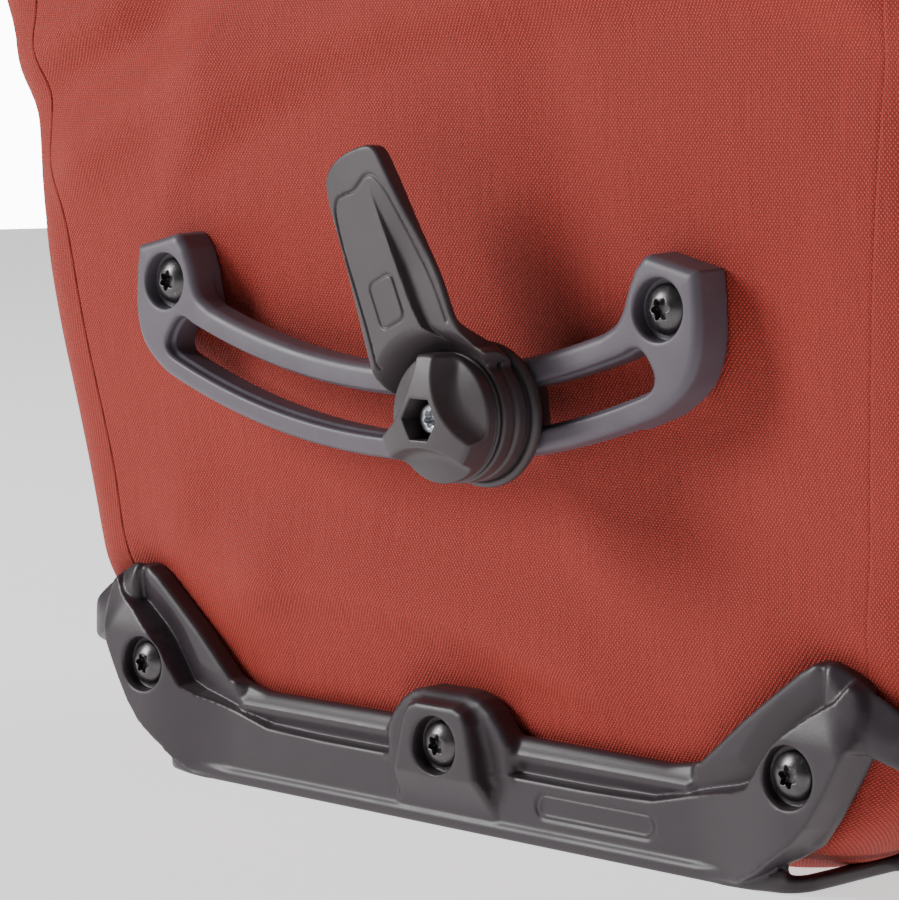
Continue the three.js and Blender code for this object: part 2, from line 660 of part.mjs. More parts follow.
function hookInsert(side) {
  const outer = THROAT_RADIUS - GAP;
  const inner = outer - 1.7;
  const section = [
    [THROAT_OUT - outer, 290], ...arc(THROAT_OUT, THROAT_Z, outer, 180, 0, 12), [THROAT_OUT + outer, 290],
    [THROAT_OUT + inner, 290], ...arc(THROAT_OUT, THROAT_Z, inner, 0, 180, 12), [THROAT_OUT - inner, 290],
  ];
  const x = side * RACK_HOOK_X;
  return barAlongX(section.reverse(), x - RACK_HOOK_HALF + 2, x + RACK_HOOK_HALF - 2, TOP_RAIL_BACK);
}

const LATCH_INNER = RACK_HOOK_HALF + RUN;
const LATCH_OUTER = LATCH_INNER + 3.5;
const BAR_OUT = PIVOT_OUT + LATCH_ARM * Math.cos(rad(LATCH_REST));
const BAR_Z = PIVOT_Z - LATCH_ARM * Math.sin(rad(LATCH_REST));

// The latch straddles the hook's tip: a finger under the throat and a pull bar outside.
function latch(side) {
  const x = side * RACK_HOOK_X;
  const web = [
    [20, 281.6], [31, 280.6], ...arc(PIVOT_OUT, PIVOT_Z, 4.4, 230, 270, 2), [BAR_OUT - 1.2, BAR_Z - 2.4],
    ...arc(BAR_OUT, BAR_Z, 2.6, -60, 80, 5), ...arc(PIVOT_OUT, PIVOT_Z, 4.4, 40, 150, 5),
    [31, 285.4], [20, 285.2],
  ];
  const finger = [[19.6, 281.6], [30.6, 280.6], [30.6, 285.4], [19.6, 285.2]];
  const webs = [-1, 1].map((end) => {
    const a = x + end * LATCH_INNER;
    const b = x + end * LATCH_OUTER;
    return barAlongX(web, Math.min(a, b), Math.max(a, b), TOP_RAIL_BACK);
  });
  const between = [x - LATCH_INNER - 1, x + LATCH_INNER + 1];
  const tongue = barAlongX(finger, ...between, TOP_RAIL_BACK);
  const bar = barAlongX(circle(BAR_OUT, BAR_Z, 2, 12), ...between, TOP_RAIL_BACK);
  const bore = barAlongX(circle(PIVOT_OUT, PIVOT_Z, 2.3, 16), x - 30, x + 30, TOP_RAIL_BACK);
  return cut(join(...webs, tongue, bar), bore);
}

function latchPin(side) {
  const x = side * RACK_HOOK_X;
  return barAlongX(circle(PIVOT_OUT, PIVOT_Z, 1.9, 16), x - LATCH_OUTER, x + LATCH_OUTER, TOP_RAIL_BACK);
}

// A moulded handle whose eyes hang on the two latches' pull bars.
function carryHandle() {
  const eyeHalf = 7.6;
  const legFrom = BAR_OUT - 3;
  const legTo = BAR_OUT + 1.6;
  const outer = smooth([[-82.6, 282], [-82.6, 318], [-74, 338], [-52, 350], [0, 354]], 20);
  const inner = smooth([[0, 338], [-48, 334.6], [-62, 328], [-67.4, 314], [-67.4, 282]], 20);
  const left = [...outer, ...inner];
  const right = mirrored(left);
  const shape = outline([...left.slice(0, 21), ...right.slice(21), ...right.slice(0, 21), ...left.slice(21)]);
  const arch = plate(shape, legFrom, legTo, TOP_RAIL_BACK);
  const across = (section, side, half) =>
    barAlongX(section, side * RACK_HOOK_X - half, side * RACK_HOOK_X + half, TOP_RAIL_BACK);
  const eye = rectangle(BAR_OUT - 5.8, BAR_Z - 5.2, BAR_OUT + 6, BAR_Z + 7.4);
  const hole = rectangle(BAR_OUT - 3.7, BAR_Z - 2.8, BAR_OUT + 3.8, BAR_Z + 2.8);
  const eyes = SIDES.map(([, side]) => across(eye, side, eyeHalf));
  const holes = SIDES.map(([, side]) => across(hole, side, 30));
  return cut(join(arch, ...eyes), ...holes);
}

// ---- side closure -------------------------------------------------------------------------

const BUCKLE_Y = BACK_Y + BAG_DEPTH * 0.5;
const BUCKLE_HALF = 17;
const FEMALE_LENGTH = 34;
const TONGUE_LENGTH = 20;
const BUCKLE_THICK = 9;
const BUCKLE_LEAN = Math.atan(FLARE);

// Places a geometry drawn at the origin (X out of the side, Z up) on a side panel.
function onSide(geometry, side, z) {
  geometry.rotateY(BUCKLE_LEAN);
  geometry.translate(halfWidth(z) + 1.2, BUCKLE_Y, z);
  return side < 0 ? mirroredCopy(geometry) : geometry;
}

function box(x0, x1, y0, y1, z0, z1) {
  const geometry = new THREE.BoxGeometry(x1 - x0, y1 - y0, z1 - z0);
  geometry.translate((x0 + x1) / 2, (y0 + y1) / 2, (z0 + z1) / 2);
  return geometry;
}

function buckleFemale(side) {
  const shell = box(0, BUCKLE_THICK, -BUCKLE_HALF, BUCKLE_HALF, -FEMALE_LENGTH, 0);
  const pocket = box(2, BUCKLE_THICK - 2, -BUCKLE_HALF + 2.2, BUCKLE_HALF - 2.2, -TONGUE_LENGTH - 2, 1);
  const slot = box(-1, BUCKLE_THICK + 1, -13.4, 13.4, -FEMALE_LENGTH + 3, -FEMALE_LENGTH + 7);
  return onSide(cut(shell, pocket, slot), side, BUCKLE_Z);
}

function buckleMale(side) {
  const tongue = box(2.5, BUCKLE_THICK - 2.5, -BUCKLE_HALF + 3, BUCKLE_HALF - 3, -TONGUE_LENGTH, 1);
  const head = box(0, BUCKLE_THICK, -BUCKLE_HALF, BUCKLE_HALF, RUN, 13);
  const gap = box(-1, BUCKLE_THICK + 1, -7, 7, -TONGUE_LENGTH - 1, -4);
  const slot = box(-1, BUCKLE_THICK + 1, -13.4, 13.4, 6, 10);
  return onSide(cut(join(tongue, head), gap, slot), side, BUCKLE_Z);
}

// Webbing drawn in X and Z, of the strap's width across the side panel.
function webbing(points, side, across = () => 0) {
  const strap = extrude(ribbon(points, STRAP_THICK, 12), STRAP_WIDTH);
  strap.rotateX(Math.PI / 2);
  strap.translate(0, BUCKLE_Y + STRAP_WIDTH / 2, 0);
  warp(strap, (point) => { point.y += across(point.z); });
  return side < 0 ? mirroredCopy(strap) : strap;
}

// From the roll's end down to the male buckle.
function closureTab(side) {
  const foot = BUCKLE_Z + 15;
  return webbing([
    [halfWidth(foot) + 5, foot], [halfWidth(WALL_TOP) + 4, WALL_TOP], [162.4, 365], [158.6, 390], [155.6, 404],
  ], side);
}

// From the protector's eyelet up the side to the female buckle.
function sideStrap(side) {
  const out = 3.2;
  const foot = 44;
  const top = BUCKLE_Z - FEMALE_LENGTH - 1;
  const lean = 34;
  const drift = (z) => -lean * ((top - z) / (top - foot)) ** 1.5;
  const path = [foot, 52, 60, 72, 120].map((z) => [halfWidth(z) + out, z]);
  return webbing([...path, [halfWidth(top) + out + 1.6, top]], side, (z) => (z < top ? drift(z) : 0));
}

// ---- reflectors ---------------------------------------------------------------------------

function frontReflector() {
  const front = BACK_Y + BAG_DEPTH + 0.3;
  const disc = extrude(outline(stadium(0, 0, 18, 12, 10)), 1.2);
  disc.rotateX(Math.PI / 2);
  disc.translate(0, front + 1.2, 210);
  return disc;
}

// ---- assembly -----------------------------------------------------------------------------

add('back_panel', backPanel(), 'fabric');
add('wrap_panel', wrapPanel(), 'fabric');
add('base_panel', basePanel(), 'fabric');
add('collar', collar(), 'fabric');
add('roll_top', rollTop(), 'fabric');
add('closure_batten', closureBatten(), 'board');
add('back_board', backBoard(), 'board');
add('inner_pocket', innerPocket(), 'webbing');
add('front_reflector', frontReflector(), 'reflector');

// Where a nut behind the fabric and the stiffening board ends, out of the datum plane.
const behindBoard = (x, z) => bulgeAt(z) - FABRIC - BOARD_GAP - BOARD_THICK - 1.8;

add('lower_rail', lowerRail(), 'rail');
addScrews('lower_rail', RAIL_SCREWS, RAIL_FACE - 3.5, behindBoard);
add('anchor_carriage', anchorCarriage(), 'hook');
add('anchor_hook', anchorHook(), 'hook');
add('anchor_knob', anchorKnob(), 'hook');
add('anchor_bolt', anchorBolt(), 'zinc');

add('edge_protector', edgeProtector(), 'guard');
addScrews('protector', GUARD_SCREWS, GUARD_TIER - 3.3, () => -13.4);

add('upper_rail', upperRail(), 'black');
addScrews('upper_rail', TOP_SCREWS, TOP_RAIL_BACK + PLATE_BACK + 0.1, behindBoard);

for (const [name, side] of SIDES) {
  add(`rail_cap_${name}`, railCap(side), 'black');
  add(`rack_hook_${name}`, rackHook(side), 'black');
  add(`hook_insert_${name}`, hookInsert(side), 'guard');
  add(`latch_${name}`, latch(side), 'hook');
  add(`latch_pin_${name}`, latchPin(side), 'zinc');
  add(`buckle_female_${name}`, buckleFemale(side), 'black');
  add(`buckle_male_${name}`, buckleMale(side), 'black');
  add(`closure_tab_${name}`, closureTab(side), 'webbing');
  add(`side_strap_${name}`, sideStrap(side), 'webbing');
}
add('carry_handle', carryHandle(), 'guard');

export default part;
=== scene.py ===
"""Looks of the roll-top pannier bag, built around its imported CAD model.

Lengths are in millimetres until a mesh is made, and "out" is the distance from the datum
plane of the rack side towards the rack, as in the CAD source.
"""
import math

import bpy
import numpy as np
import openvdb
from mathutils import Matrix, Vector


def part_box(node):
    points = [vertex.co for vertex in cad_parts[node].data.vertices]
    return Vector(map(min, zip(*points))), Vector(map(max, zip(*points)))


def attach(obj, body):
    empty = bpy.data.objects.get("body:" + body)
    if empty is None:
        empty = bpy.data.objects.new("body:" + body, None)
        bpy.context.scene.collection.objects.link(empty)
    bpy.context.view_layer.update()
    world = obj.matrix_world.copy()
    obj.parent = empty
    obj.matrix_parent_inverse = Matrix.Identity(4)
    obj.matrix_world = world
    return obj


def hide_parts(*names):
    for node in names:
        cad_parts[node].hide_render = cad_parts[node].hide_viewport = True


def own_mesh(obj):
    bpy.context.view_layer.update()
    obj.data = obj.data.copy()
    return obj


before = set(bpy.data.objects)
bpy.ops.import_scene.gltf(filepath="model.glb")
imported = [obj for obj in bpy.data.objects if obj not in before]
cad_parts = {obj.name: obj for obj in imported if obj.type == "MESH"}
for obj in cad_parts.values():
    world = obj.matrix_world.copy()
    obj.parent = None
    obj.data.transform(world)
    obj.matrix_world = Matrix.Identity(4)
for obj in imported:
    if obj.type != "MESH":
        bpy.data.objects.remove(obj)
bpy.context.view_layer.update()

MM = 0.001

# ---- dimensions shared with the CAD source --------------------------------------------------

RAIL_FACE = 22.0
BACK_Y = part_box("lower_rail")[0].y / MM + RAIL_FACE
BAG_DEPTH = 166.0
BASE_HALF_WIDTH = 121.0
FLARE = 0.125
PINCH = 7.5
PINCH_FROM = 26.0
PINCH_TO = 50.0
REAR_RADIUS = 13.0
STREET_RADIUS = 34.0
TRAY_TOP = 32.0
TRAY_ROUNDING = 38.0
WALL_TOP = 330.0
COLLAR_TOP = 388.0
BULGE = 21.0
BULGE_OFFSET = -5.0
BULGE_START = 30.0
BULGE_SPAN = 320.0
ROLL_Y = BACK_Y + BAG_DEPTH / 2
ROLL_Z = COLLAR_TOP + 16

RAIL_CENTRE_Z = 276.0
RAIL_RADIUS = 184.5
SLOT_HALF = 4.8
RAIL_SCREWS = ((-73.0, 117.2), (73.0, 117.2))
GUARD_SCREWS = ((-96.5, 25.3), (0.0, 18.7), (96.5, 25.3))
ANCHOR_ANGLE = math.radians(9)
ANCHOR_X = RAIL_RADIUS * math.sin(ANCHOR_ANGLE)
ANCHOR_Z = RAIL_CENTRE_Z - RAIL_RADIUS * math.cos(ANCHOR_ANGLE)
HOOK_TILT = math.radians(24.5)

SCREW_HOLE = 3.3
RECESS_RADIUS = 6.3
RECESS_DEPTH = 3.6
SEAT_DEPTH = 3.5                 # of the screw heads below their face

THREAD_ACROSS = 0.44             # weave pitches of the bag's fabric
THREAD_UP = 0.55


# ---- small mathematics ----------------------------------------------------------------------

def smoothstep(x, low, high):
    t = np.clip((x - low) / (high - low), 0, 1)
    return t * t * (3 - 2 * t)


def soft_min(a, b, k):
    """The smaller of two fields, with a fillet of about k where they meet."""
    h = np.maximum(k - np.abs(a - b), 0) / k
    return np.minimum(a, b) - h * h * k / 4


def soft_max(a, b, k):
    return -soft_min(-a, -b, k)


def arc(cx, cz, radius, start, end, steps):
    angles = np.radians(np.linspace(start, end, steps + 1))
    return [(cx + radius * math.cos(t), cz + radius * math.sin(t)) for t in angles]


def spline(points, steps=8, closed=False):
    """A smooth run of points through a few given ones (Catmull-Rom)."""
    p = np.asarray(points, float)
    if closed:
        p = np.vstack([p[-1], p, p[0], p[1]])
    else:
        p = np.vstack([2 * p[0] - p[1], p, 2 * p[-1] - p[-2]])
    t = np.linspace(0, 1, steps, endpoint=False)[:, None]
    runs = []
    for a, b, c, d in zip(p[:-3], p[1:-2], p[2:-1], p[3:]):
        runs.append(0.5 * (2 * b + (c - a) * t + (2 * a - 5 * b + 4 * c - d) * t ** 2
                           + (3 * b - a - 3 * c + d) * t ** 3))
    line = np.vstack(runs)
    return line if closed else np.vstack([line, p[-2]])


def outline_distance(points, x, z):
    """Signed distance to a closed outline, negative inside it."""
    p = np.asarray(points, float)
    best = np.full(np.broadcast(x, z).shape, 1e9)
    inside = np.zeros(best.shape, bool)
    for (ax, az), (bx, bz) in zip(p, np.roll(p, -1, axis=0)):
        ex, ez = bx - ax, bz - az
        wx, wz = x - ax, z - az
        t = np.clip((wx * ex + wz * ez) / max(ex * ex + ez * ez, 1e-12), 0, 1)
        best = np.minimum(best, (wx - ex * t) ** 2 + (wz - ez * t) ** 2)
        level = (az > z) != (bz > z)
        inside ^= level & (wx < wz * ex / (ez if abs(ez) > 1e-12 else 1e-12))
    return np.where(inside, -1.0, 1.0) * np.sqrt(best)


def path_distance(points, x, y):
    """Distance to an open path, and how far along it the nearest place is, from 0 to 1."""
    p = np.asarray(points, float)
    lengths = np.hypot(*(p[1:] - p[:-1]).T)
    total, passed = lengths.sum(), 0.0
    best = np.full(np.broadcast(x, y).shape, 1e9)
    along = np.zeros(best.shape)
    for (ax, ay), (bx, by), length in zip(p[:-1], p[1:], lengths):
        ex, ey = bx - ax, by - ay
        wx, wy = x - ax, y - ay
        t = np.clip((wx * ex + wy * ey) / (ex * ex + ey * ey), 0, 1)
        d = np.hypot(wx - ex * t, wy - ey * t)
        nearer = d < best
        best = np.where(nearer, d, best)
        along = np.where(nearer, (passed + t * length) / total, along)
        passed += length
    return best, along


def between(h, low, high):
    """The slab between two heights as a field."""
    return abs(h - (low + high) / 2) - (high - low) / 2


def rounded_slab(side, h, low, high, radius):
    """A plate between two heights whose upper rim has a rounded edge."""
    a = side + radius
    b = h - high + radius
    rim = np.minimum(np.maximum(a, b), 0) + np.hypot(np.maximum(a, 0), np.maximum(b, 0)) - radius
    return np.maximum(rim, low - h)


def carve(field, tool, k):
    """A field with a tool's shape taken out of it, its edge rounded by about k."""
    return soft_max(field, -tool, k)


def standing(points, x, z):
    """Signed distance to an outline, for the x and z of a grid."""
    return outline_distance(points, x[:, :, 0], z[:, :, 0])[:, :, None]


def hexagon(x, z, apothem):
    angles = [math.radians(60 * i + 30) for i in range(6)]
    return np.maximum.reduce([x * math.cos(t) + z * math.sin(t) - apothem for t in angles])


def six_lobes(x, z, radius, depth=0.14):
    """The outline of a six-lobed socket."""
    angle = np.arctan2(z, x)
    return np.hypot(x, z) - radius * (1 - depth + depth * np.cos(6 * angle))


# ---- meshes ---------------------------------------------------------------------------------

def make_object(name, points, quads, triangles=()):
    """A mesh object from points in millimetres."""
    points = np.asarray(points, np.float32) * MM
    quads = np.asarray(quads, np.int32).reshape(-1, 4)
    triangles = np.asarray(triangles, np.int32).reshape(-1, 3)
    mesh = bpy.data.meshes.new(name)
    mesh.vertices.add(len(points))
    mesh.vertices.foreach_set("co", points.ravel())
    corners = np.concatenate([quads.ravel(), triangles.ravel()])
    sizes = np.concatenate([np.full(len(quads), 4), np.full(len(triangles), 3)])
    mesh.loops.add(len(corners))
    mesh.loops.foreach_set("vertex_index", corners)
    mesh.polygons.add(len(sizes))
    mesh.polygons.foreach_set("loop_start", np.concatenate([[0], np.cumsum(sizes)[:-1]]).astype(np.int32))
    mesh.polygons.foreach_set("use_smooth", np.ones(len(sizes), bool))
    mesh.update(calc_edges=True)
    mesh.validate()
    obj = bpy.data.objects.new(name, mesh)
    bpy.context.scene.collection.objects.link(obj)
    return obj


def volume(mesh):
    """Signed volume of a mesh, to tell which way its faces point."""
    mesh.calc_loop_triangles()
    corners = np.zeros(len(mesh.loop_triangles) * 3, np.int32)
    mesh.loop_triangles.foreach_get("vertices", corners)
    co = np.zeros(len(mesh.vertices) * 3, np.float32)
    mesh.vertices.foreach_get("co", co)
    t = co.reshape(-1, 3)[corners.reshape(-1, 3)].astype(float)
    return np.einsum("ij,ij->i", t[:, 0], np.cross(t[:, 1], t[:, 2])).sum() / 6


def face_outwards(obj):
    if volume(obj.data) < 0:
        obj.data.flip_normals()
    return obj


class Grid:
    """A block of space on which a moulded part's distance field is worked out."""

    def __init__(self, low, high, step):
        self.low = np.asarray(low, float)
        self.step = step
        x, z, h = (np.arange(a, b + step, step) for a, b in zip(low, high))
        self.x = x[:, None, None]
        self.z = z[None, :, None]
        self.h = h[None, None, :]

    def surface(self, field):
        """Points and quads where the field is zero, in the grid's own axes."""
        band = 3 * self.step
        vdb = openvdb.FloatGrid(band)
        vdb.copyFromArray(np.ascontiguousarray(np.clip(field, -band, band), np.float32))
        points, triangles, quads = vdb.convertToPolygons(0.0, 0.0)
        return points * self.step + self.low, triangles, quads


def set_down(points, x=0.0, z=0.0, out=0.0, turn=0.0):
    """Points drawn as x, z and height, turned about the origin and put in their place on the bag."""
    c, s = math.cos(turn), math.sin(turn)
    u, v, height = points.T
    return np.stack([x + u * c - v * s, BACK_Y - out - height, z + u * s + v * c], axis=1)


def moulded_field(name, grid, field, **place):
    points, triangles, quads = grid.surface(field)
    return face_outwards(make_object(name, set_down(points, **place), quads, triangles))


def moulded_node(node, step, rounding, fillet):
    """A CAD node with its edges rounded and its inner corners filled, as a mould leaves them."""
    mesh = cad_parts[node].data
    mesh.calc_loop_triangles()
    corners = np.zeros(len(mesh.loop_triangles) * 3, np.uint32)
    mesh.loop_triangles.foreach_get("vertices", corners)
    points = np.zeros(len(mesh.vertices) * 3, np.float32)
    mesh.vertices.foreach_get("co", points)
    points = points.reshape(-1, 3) / MM
    triangles, quads = corners.reshape(-1, 3), np.zeros((0, 4), np.uint32)
    spacing = openvdb.createLinearTransform(voxelSize=step)
    offsets = [o for o in (fillet, -fillet - rounding, rounding) if abs(o) > 0]
    for offset in offsets:
        band = abs(offset) / step + 3
        level = openvdb.FloatGrid.createLevelSetFromPolygons(
            points, triangles=triangles, quads=quads, transform=spacing, halfWidth=band)
        points, triangles, quads = level.convertToPolygons(offset, 0.0)
    return face_outwards(make_object(f"{node}_moulding", points, quads, triangles))


# ---- lower rail -----------------------------------------------------------------------------

RAIL_BACK = 13.3
RAIL_BAR_BACK = 15.8
UPPER_BAR = 5.4
LOWER_BAR = 4.7
BOSS_SIDE = ((73.8, 96.8), (78.8, 100.6), (81.6, 104.4), (83.0, 109), (83.3, 114), (83.0, 120))
BOSS_TOP = ((82.4, 125), (70.0, 127.9), (68.6, 127.5))
BOSS_INSIDE = ((66.2, 124.8), (64.4, 120.4), (63.2, 116.8), (61.4, 113.8))
SLOT_END = ((70.4, 100.4), (72.0, 102.2), (72.0, 104.4), (70.2, 107.4), (68.2, 109.1), (66.2, 109.2))


def rail_arc(radius, start, end, steps=40):
    return arc(0, RAIL_CENTRE_Z, radius, start - 90, end - 90, steps)


def rail_outline():
    lower = rail_arc(RAIL_RADIUS + SLOT_HALF + LOWER_BAR, 0, 21.1)
    upper = rail_arc(RAIL_RADIUS - SLOT_HALF - UPPER_BAR, 19.4, 0)
    side = spline((lower[-1], *BOSS_SIDE), 6)[1:]
    inside = spline((*BOSS_INSIDE, upper[0]), 5)[:-1]
    return [*lower, *side, *BOSS_TOP, *inside, *upper, (-5, 101.7), (-5, 82)]


def slot_outline():
    lower = rail_arc(RAIL_RADIUS + SLOT_HALF, 0, 20.6)
    upper = rail_arc(RAIL_RADIUS - SLOT_HALF, 20.8, 0)
    end = spline((lower[-1], *SLOT_END, upper[0]), 6)[1:-1]
    return [*lower, *end, *upper, (-5, 96.3), (-5, 86.7)]


def build_lower_rail():
    grid = Grid((-87, 78, 12), (87, 131, 23.5), 0.34)
    x, z, h = abs(grid.x), grid.z, grid.h
    body = standing(rail_outline(), x, z)
    slot = standing(slot_outline(), x, z)
    draft = 0.05 * (RAIL_FACE - h)
    crown = 0.016 * np.clip(body + 5, 0, 5) ** 2
    bars = rounded_slab(body - draft, h + crown, RAIL_BAR_BACK, RAIL_FACE, 1.8)
    boss = smoothstep(x, 58, 64)
    feet = rounded_slab(body + 4 * (1 - boss) - draft, h + crown, RAIL_BACK, RAIL_FACE, 1.8)
    field = np.minimum(bars, feet)
    ledge = 0.7 * smoothstep(RAIL_FACE - 2.2 - h, -0.2, 0.2)
    field = carve(field, slot + ledge, 1.1)
    screw = np.hypot(x - RAIL_SCREWS[1][0], z - RAIL_SCREWS[1][1])
    recess = np.maximum(screw - RECESS_RADIUS, RAIL_FACE - RECESS_DEPTH - h)
    field = carve(field, recess, 0.8)
    field = np.maximum(field, SCREW_HOLE - screw)
    return moulded_field("lower_rail_moulding", grid, field)


# ---- screws ---------------------------------------------------------------------------------

HEAD_RADIUS = 5.2
HEAD_HEIGHT = 3.0
DOME_RISE = 2.3
SHANK_RADIUS = 3.0
SHANK_SHOWN = 2.2                # the rest of the shank is hidden in the holes
UPPER_RAIL_SCREWS = (-103, -30, 30, 103)
UPPER_RAIL_Z = 302.0
UPPER_RAIL_SEAT = 12.6


def screw_mesh():
    """A button head with a six-lobed socket, seated at the origin and looking along +h."""
    grid = Grid((-5.7, -5.7, -2.4), (5.7, 5.7, 3.4), 0.13)
    x, z, h = grid.x, grid.z, grid.h
    radius = np.hypot(x, z)
    dome_radius = (HEAD_RADIUS ** 2 + DOME_RISE ** 2) / (2 * DOME_RISE)
    dome = np.hypot(radius, h - HEAD_HEIGHT + dome_radius) - dome_radius
    head = soft_max(soft_max(dome, radius - HEAD_RADIUS, 0.5), -h, 0.3)
    shank = np.maximum(np.maximum(radius - SHANK_RADIUS, h - 1), -SHANK_SHOWN - h)
    field = np.minimum(head, shank)
    field = carve(field, np.maximum(radius - 2.85, HEAD_HEIGHT - 0.35 - h), 0.2)
    field = carve(field, np.maximum(six_lobes(x, z, 2.35, 0.17), HEAD_HEIGHT - 2.2 - h), 0.15)
    points, _, quads = grid.surface(field)
    return points, quads


def fastener(name, mesh, x, z, out, turn):
    """A copy of a screw or nut in its place."""
    points, quads = mesh
    return face_outwards(make_object(name, set_down(points, x, z, out, turn), quads))


def build_screws():
    places = []
    for side, (x, z) in zip(("left", "right"), RAIL_SCREWS):
        places.append((f"lower_rail_screw_{side}", x, z, RAIL_FACE - SEAT_DEPTH))
    for side, (x, z) in zip(("left", "middle", "right"), GUARD_SCREWS):
        places.append((f"protector_screw_{side}", x, z, GUARD_TIER - SEAT_DEPTH))
    for i, x in enumerate(UPPER_RAIL_SCREWS):
        places.append((f"upper_rail_screw_{i + 1}", x, UPPER_RAIL_Z, UPPER_RAIL_SEAT))
    turns = (0.35, 0.1, 0.9, 0.3, 0.75, 0.2, 0.6, 1.0, 0.5)
    mesh = screw_mesh()
    return {node: fastener(f"{node}_head", mesh, x, z, seat, turn)
            for (node, x, z, seat), turn in zip(places, turns)}


# ---- anchor hook, knob and carriage ---------------------------------------------------------

HUB = (25.7, 33.0)               # from and to, out of the datum plane
BLADE = (36.6, 41.0)
KNOB = (33.4, 44.0)
FLANGE = (22.4, 25.3)
FOOT = (10.65, 15.25)
HUB_RADIUS = 13.7
HUB_HOLE = 5.2
KNOB_RADIUS = 13.4
FLANGE_RADIUS = 15.2
BOLT_HOLE = 3.4
BLADE_RIGHT = ((14.4, 7), (13.9, 10.4), (12.8, 14.2), (12.2, 18.3), (12, 26.8), (10.5, 37.7), (8.8, 51.4))
BLADE_TOP = ((7.4, 56.7), (3.6, 58.3), (-2.5, 58.5), (-7.2, 56.6))
BLADE_LEFT = ((-9.1, 51.7), (-10, 37.3), (-11.2, 24.3), (-12.2, 14), (-12.4, 9.4), (-10, 5))
PANEL_GROOVE = ((-10, 14.8), (-9.3, 21.8), (-9, 30.8), (-8.9, 39.3), (-8.1, 47.5), (-6.4, 50.7), (-3.8, 51),
                (-1.1, 50.6), (1.2, 51.3), (3.2, 52), (5, 51.6), (6.3, 49.9), (7.8, 45.3), (9.2, 33.6),
                (10.4, 25.1), (10.7, 17))
RIDGE = ((14.8, 7.0), (18, 5.8), (22.6, 5.0), (31.8, 4.5), (45.0, 3.9), (49.7, 3.7))   # its v and u
PAD = (-1.2, 26.2)
PAD_HALF = (3.5, 5.0)
PAD_ROUND = 1.6
ON_ANCHOR = {"x": ANCHOR_X, "z": ANCHOR_Z}


def build_anchor_hook():
    """The blade stands on a ramp above the hub; u is across it and v up it."""
    grid = Grid((-17, -16, 24), (17, 61, 43), 0.26)
    u, v, h = grid.x, grid.z, grid.h
    outline = [*BLADE_RIGHT, *BLADE_TOP, *BLADE_LEFT]
    blade_side = standing(spline(outline, 6, closed=True), u, v)
    radius = np.hypot(u, v)
    rise = smoothstep(radius, 12.8, 19.0)
    front = HUB[1] + (BLADE[1] - HUB[1]) * rise - 0.006 * u * u
    back = HUB[0] + (BLADE[0] - HUB[0]) * smoothstep(radius, 14.0, 21.0)
    ridge_v, ridge_u = zip(*RIDGE)
    beyond_ridge = smoothstep(u - np.interp(v, ridge_v, ridge_u), -0.2, 0.3)
    drop = 1.9 * smoothstep(51 - v, 0, 22)
    front = front - drop * beyond_ridge * rise
    groove, along = path_distance(spline(PANEL_GROOVE, 5), u[:, :, 0], v[:, :, 0])
    depth = 0.62 - 0.34 * smoothstep(along, 0.52, 0.62)
    front = front - (depth * np.exp(-(groove / 0.27) ** 2))[:, :, None]
    pad_u, pad_v = abs(u - PAD[0]) - PAD_HALF[0], abs(v - PAD[1]) - PAD_HALF[1]
    pad = np.hypot(np.maximum(pad_u + PAD_ROUND, 0), np.maximum(pad_v + PAD_ROUND, 0)) - PAD_ROUND
    front = front - 0.45 * np.exp(-(pad / 0.25) ** 2)
    blade = soft_max(soft_max(blade_side, (h - front) * 0.85, 0.8), (back - h) * 0.85, 0.8)
    hub = soft_max(radius - HUB_RADIUS, between(h, *HUB), 0.9)
    ring = np.hypot(radius - 13.8, h - 29.2) - 0.6
    field = carve(soft_min(blade, hub, 1.6), ring, 0.5)
    knob_room = np.maximum(radius - KNOB_RADIUS - 0.1, HUB[1] - h)
    field = np.maximum(carve(field, knob_room, 0.5), HUB_HOLE - radius)
    return moulded_field("anchor_hook_moulding", grid, field, turn=HOOK_TILT, **ON_ANCHOR)


def build_anchor_knob():
    """A round base with three arms left standing between deep scoops."""
    grid = Grid((-14.2, -14.2, 32.8), (14.2, 14.2, 44.8), 0.2)
    u, v, h = grid.x, grid.z, grid.h
    radius = np.hypot(u, v)
    taper = 0.05 * np.maximum(h - 37, 0)
    body = soft_max(radius - KNOB_RADIUS + taper, h - KNOB[1] + 0.012 * radius ** 2, 0.9)
    body = soft_max(body, KNOB[0] - h, 0.4)
    for i in range(3):
        angle = math.radians(30 + 120 * i)
        c, s = math.cos(angle), math.sin(angle)
        along, across = u * c + v * s, -u * s + v * c
        wall = (np.hypot(along - 29.2, across) - 23.7 + 0.34 * (KNOB[1] - h)) * 0.94
        floor = 38.9 - 0.34 * (radius - 9.0) - h
        body = carve(body, soft_max(wall, floor, 1.7), 0.5)
    rim = np.hypot(radius - 13.1, h - 34.6) - 0.4
    body = carve(body, rim, 0.4)
    well = np.maximum(hexagon(u, v, 4.15), KNOB[0] + 4 - h)
    body = np.maximum(carve(body, well, 0.4), BOLT_HOLE - radius)
    return moulded_field("anchor_knob_moulding", grid, body, **ON_ANCHOR)


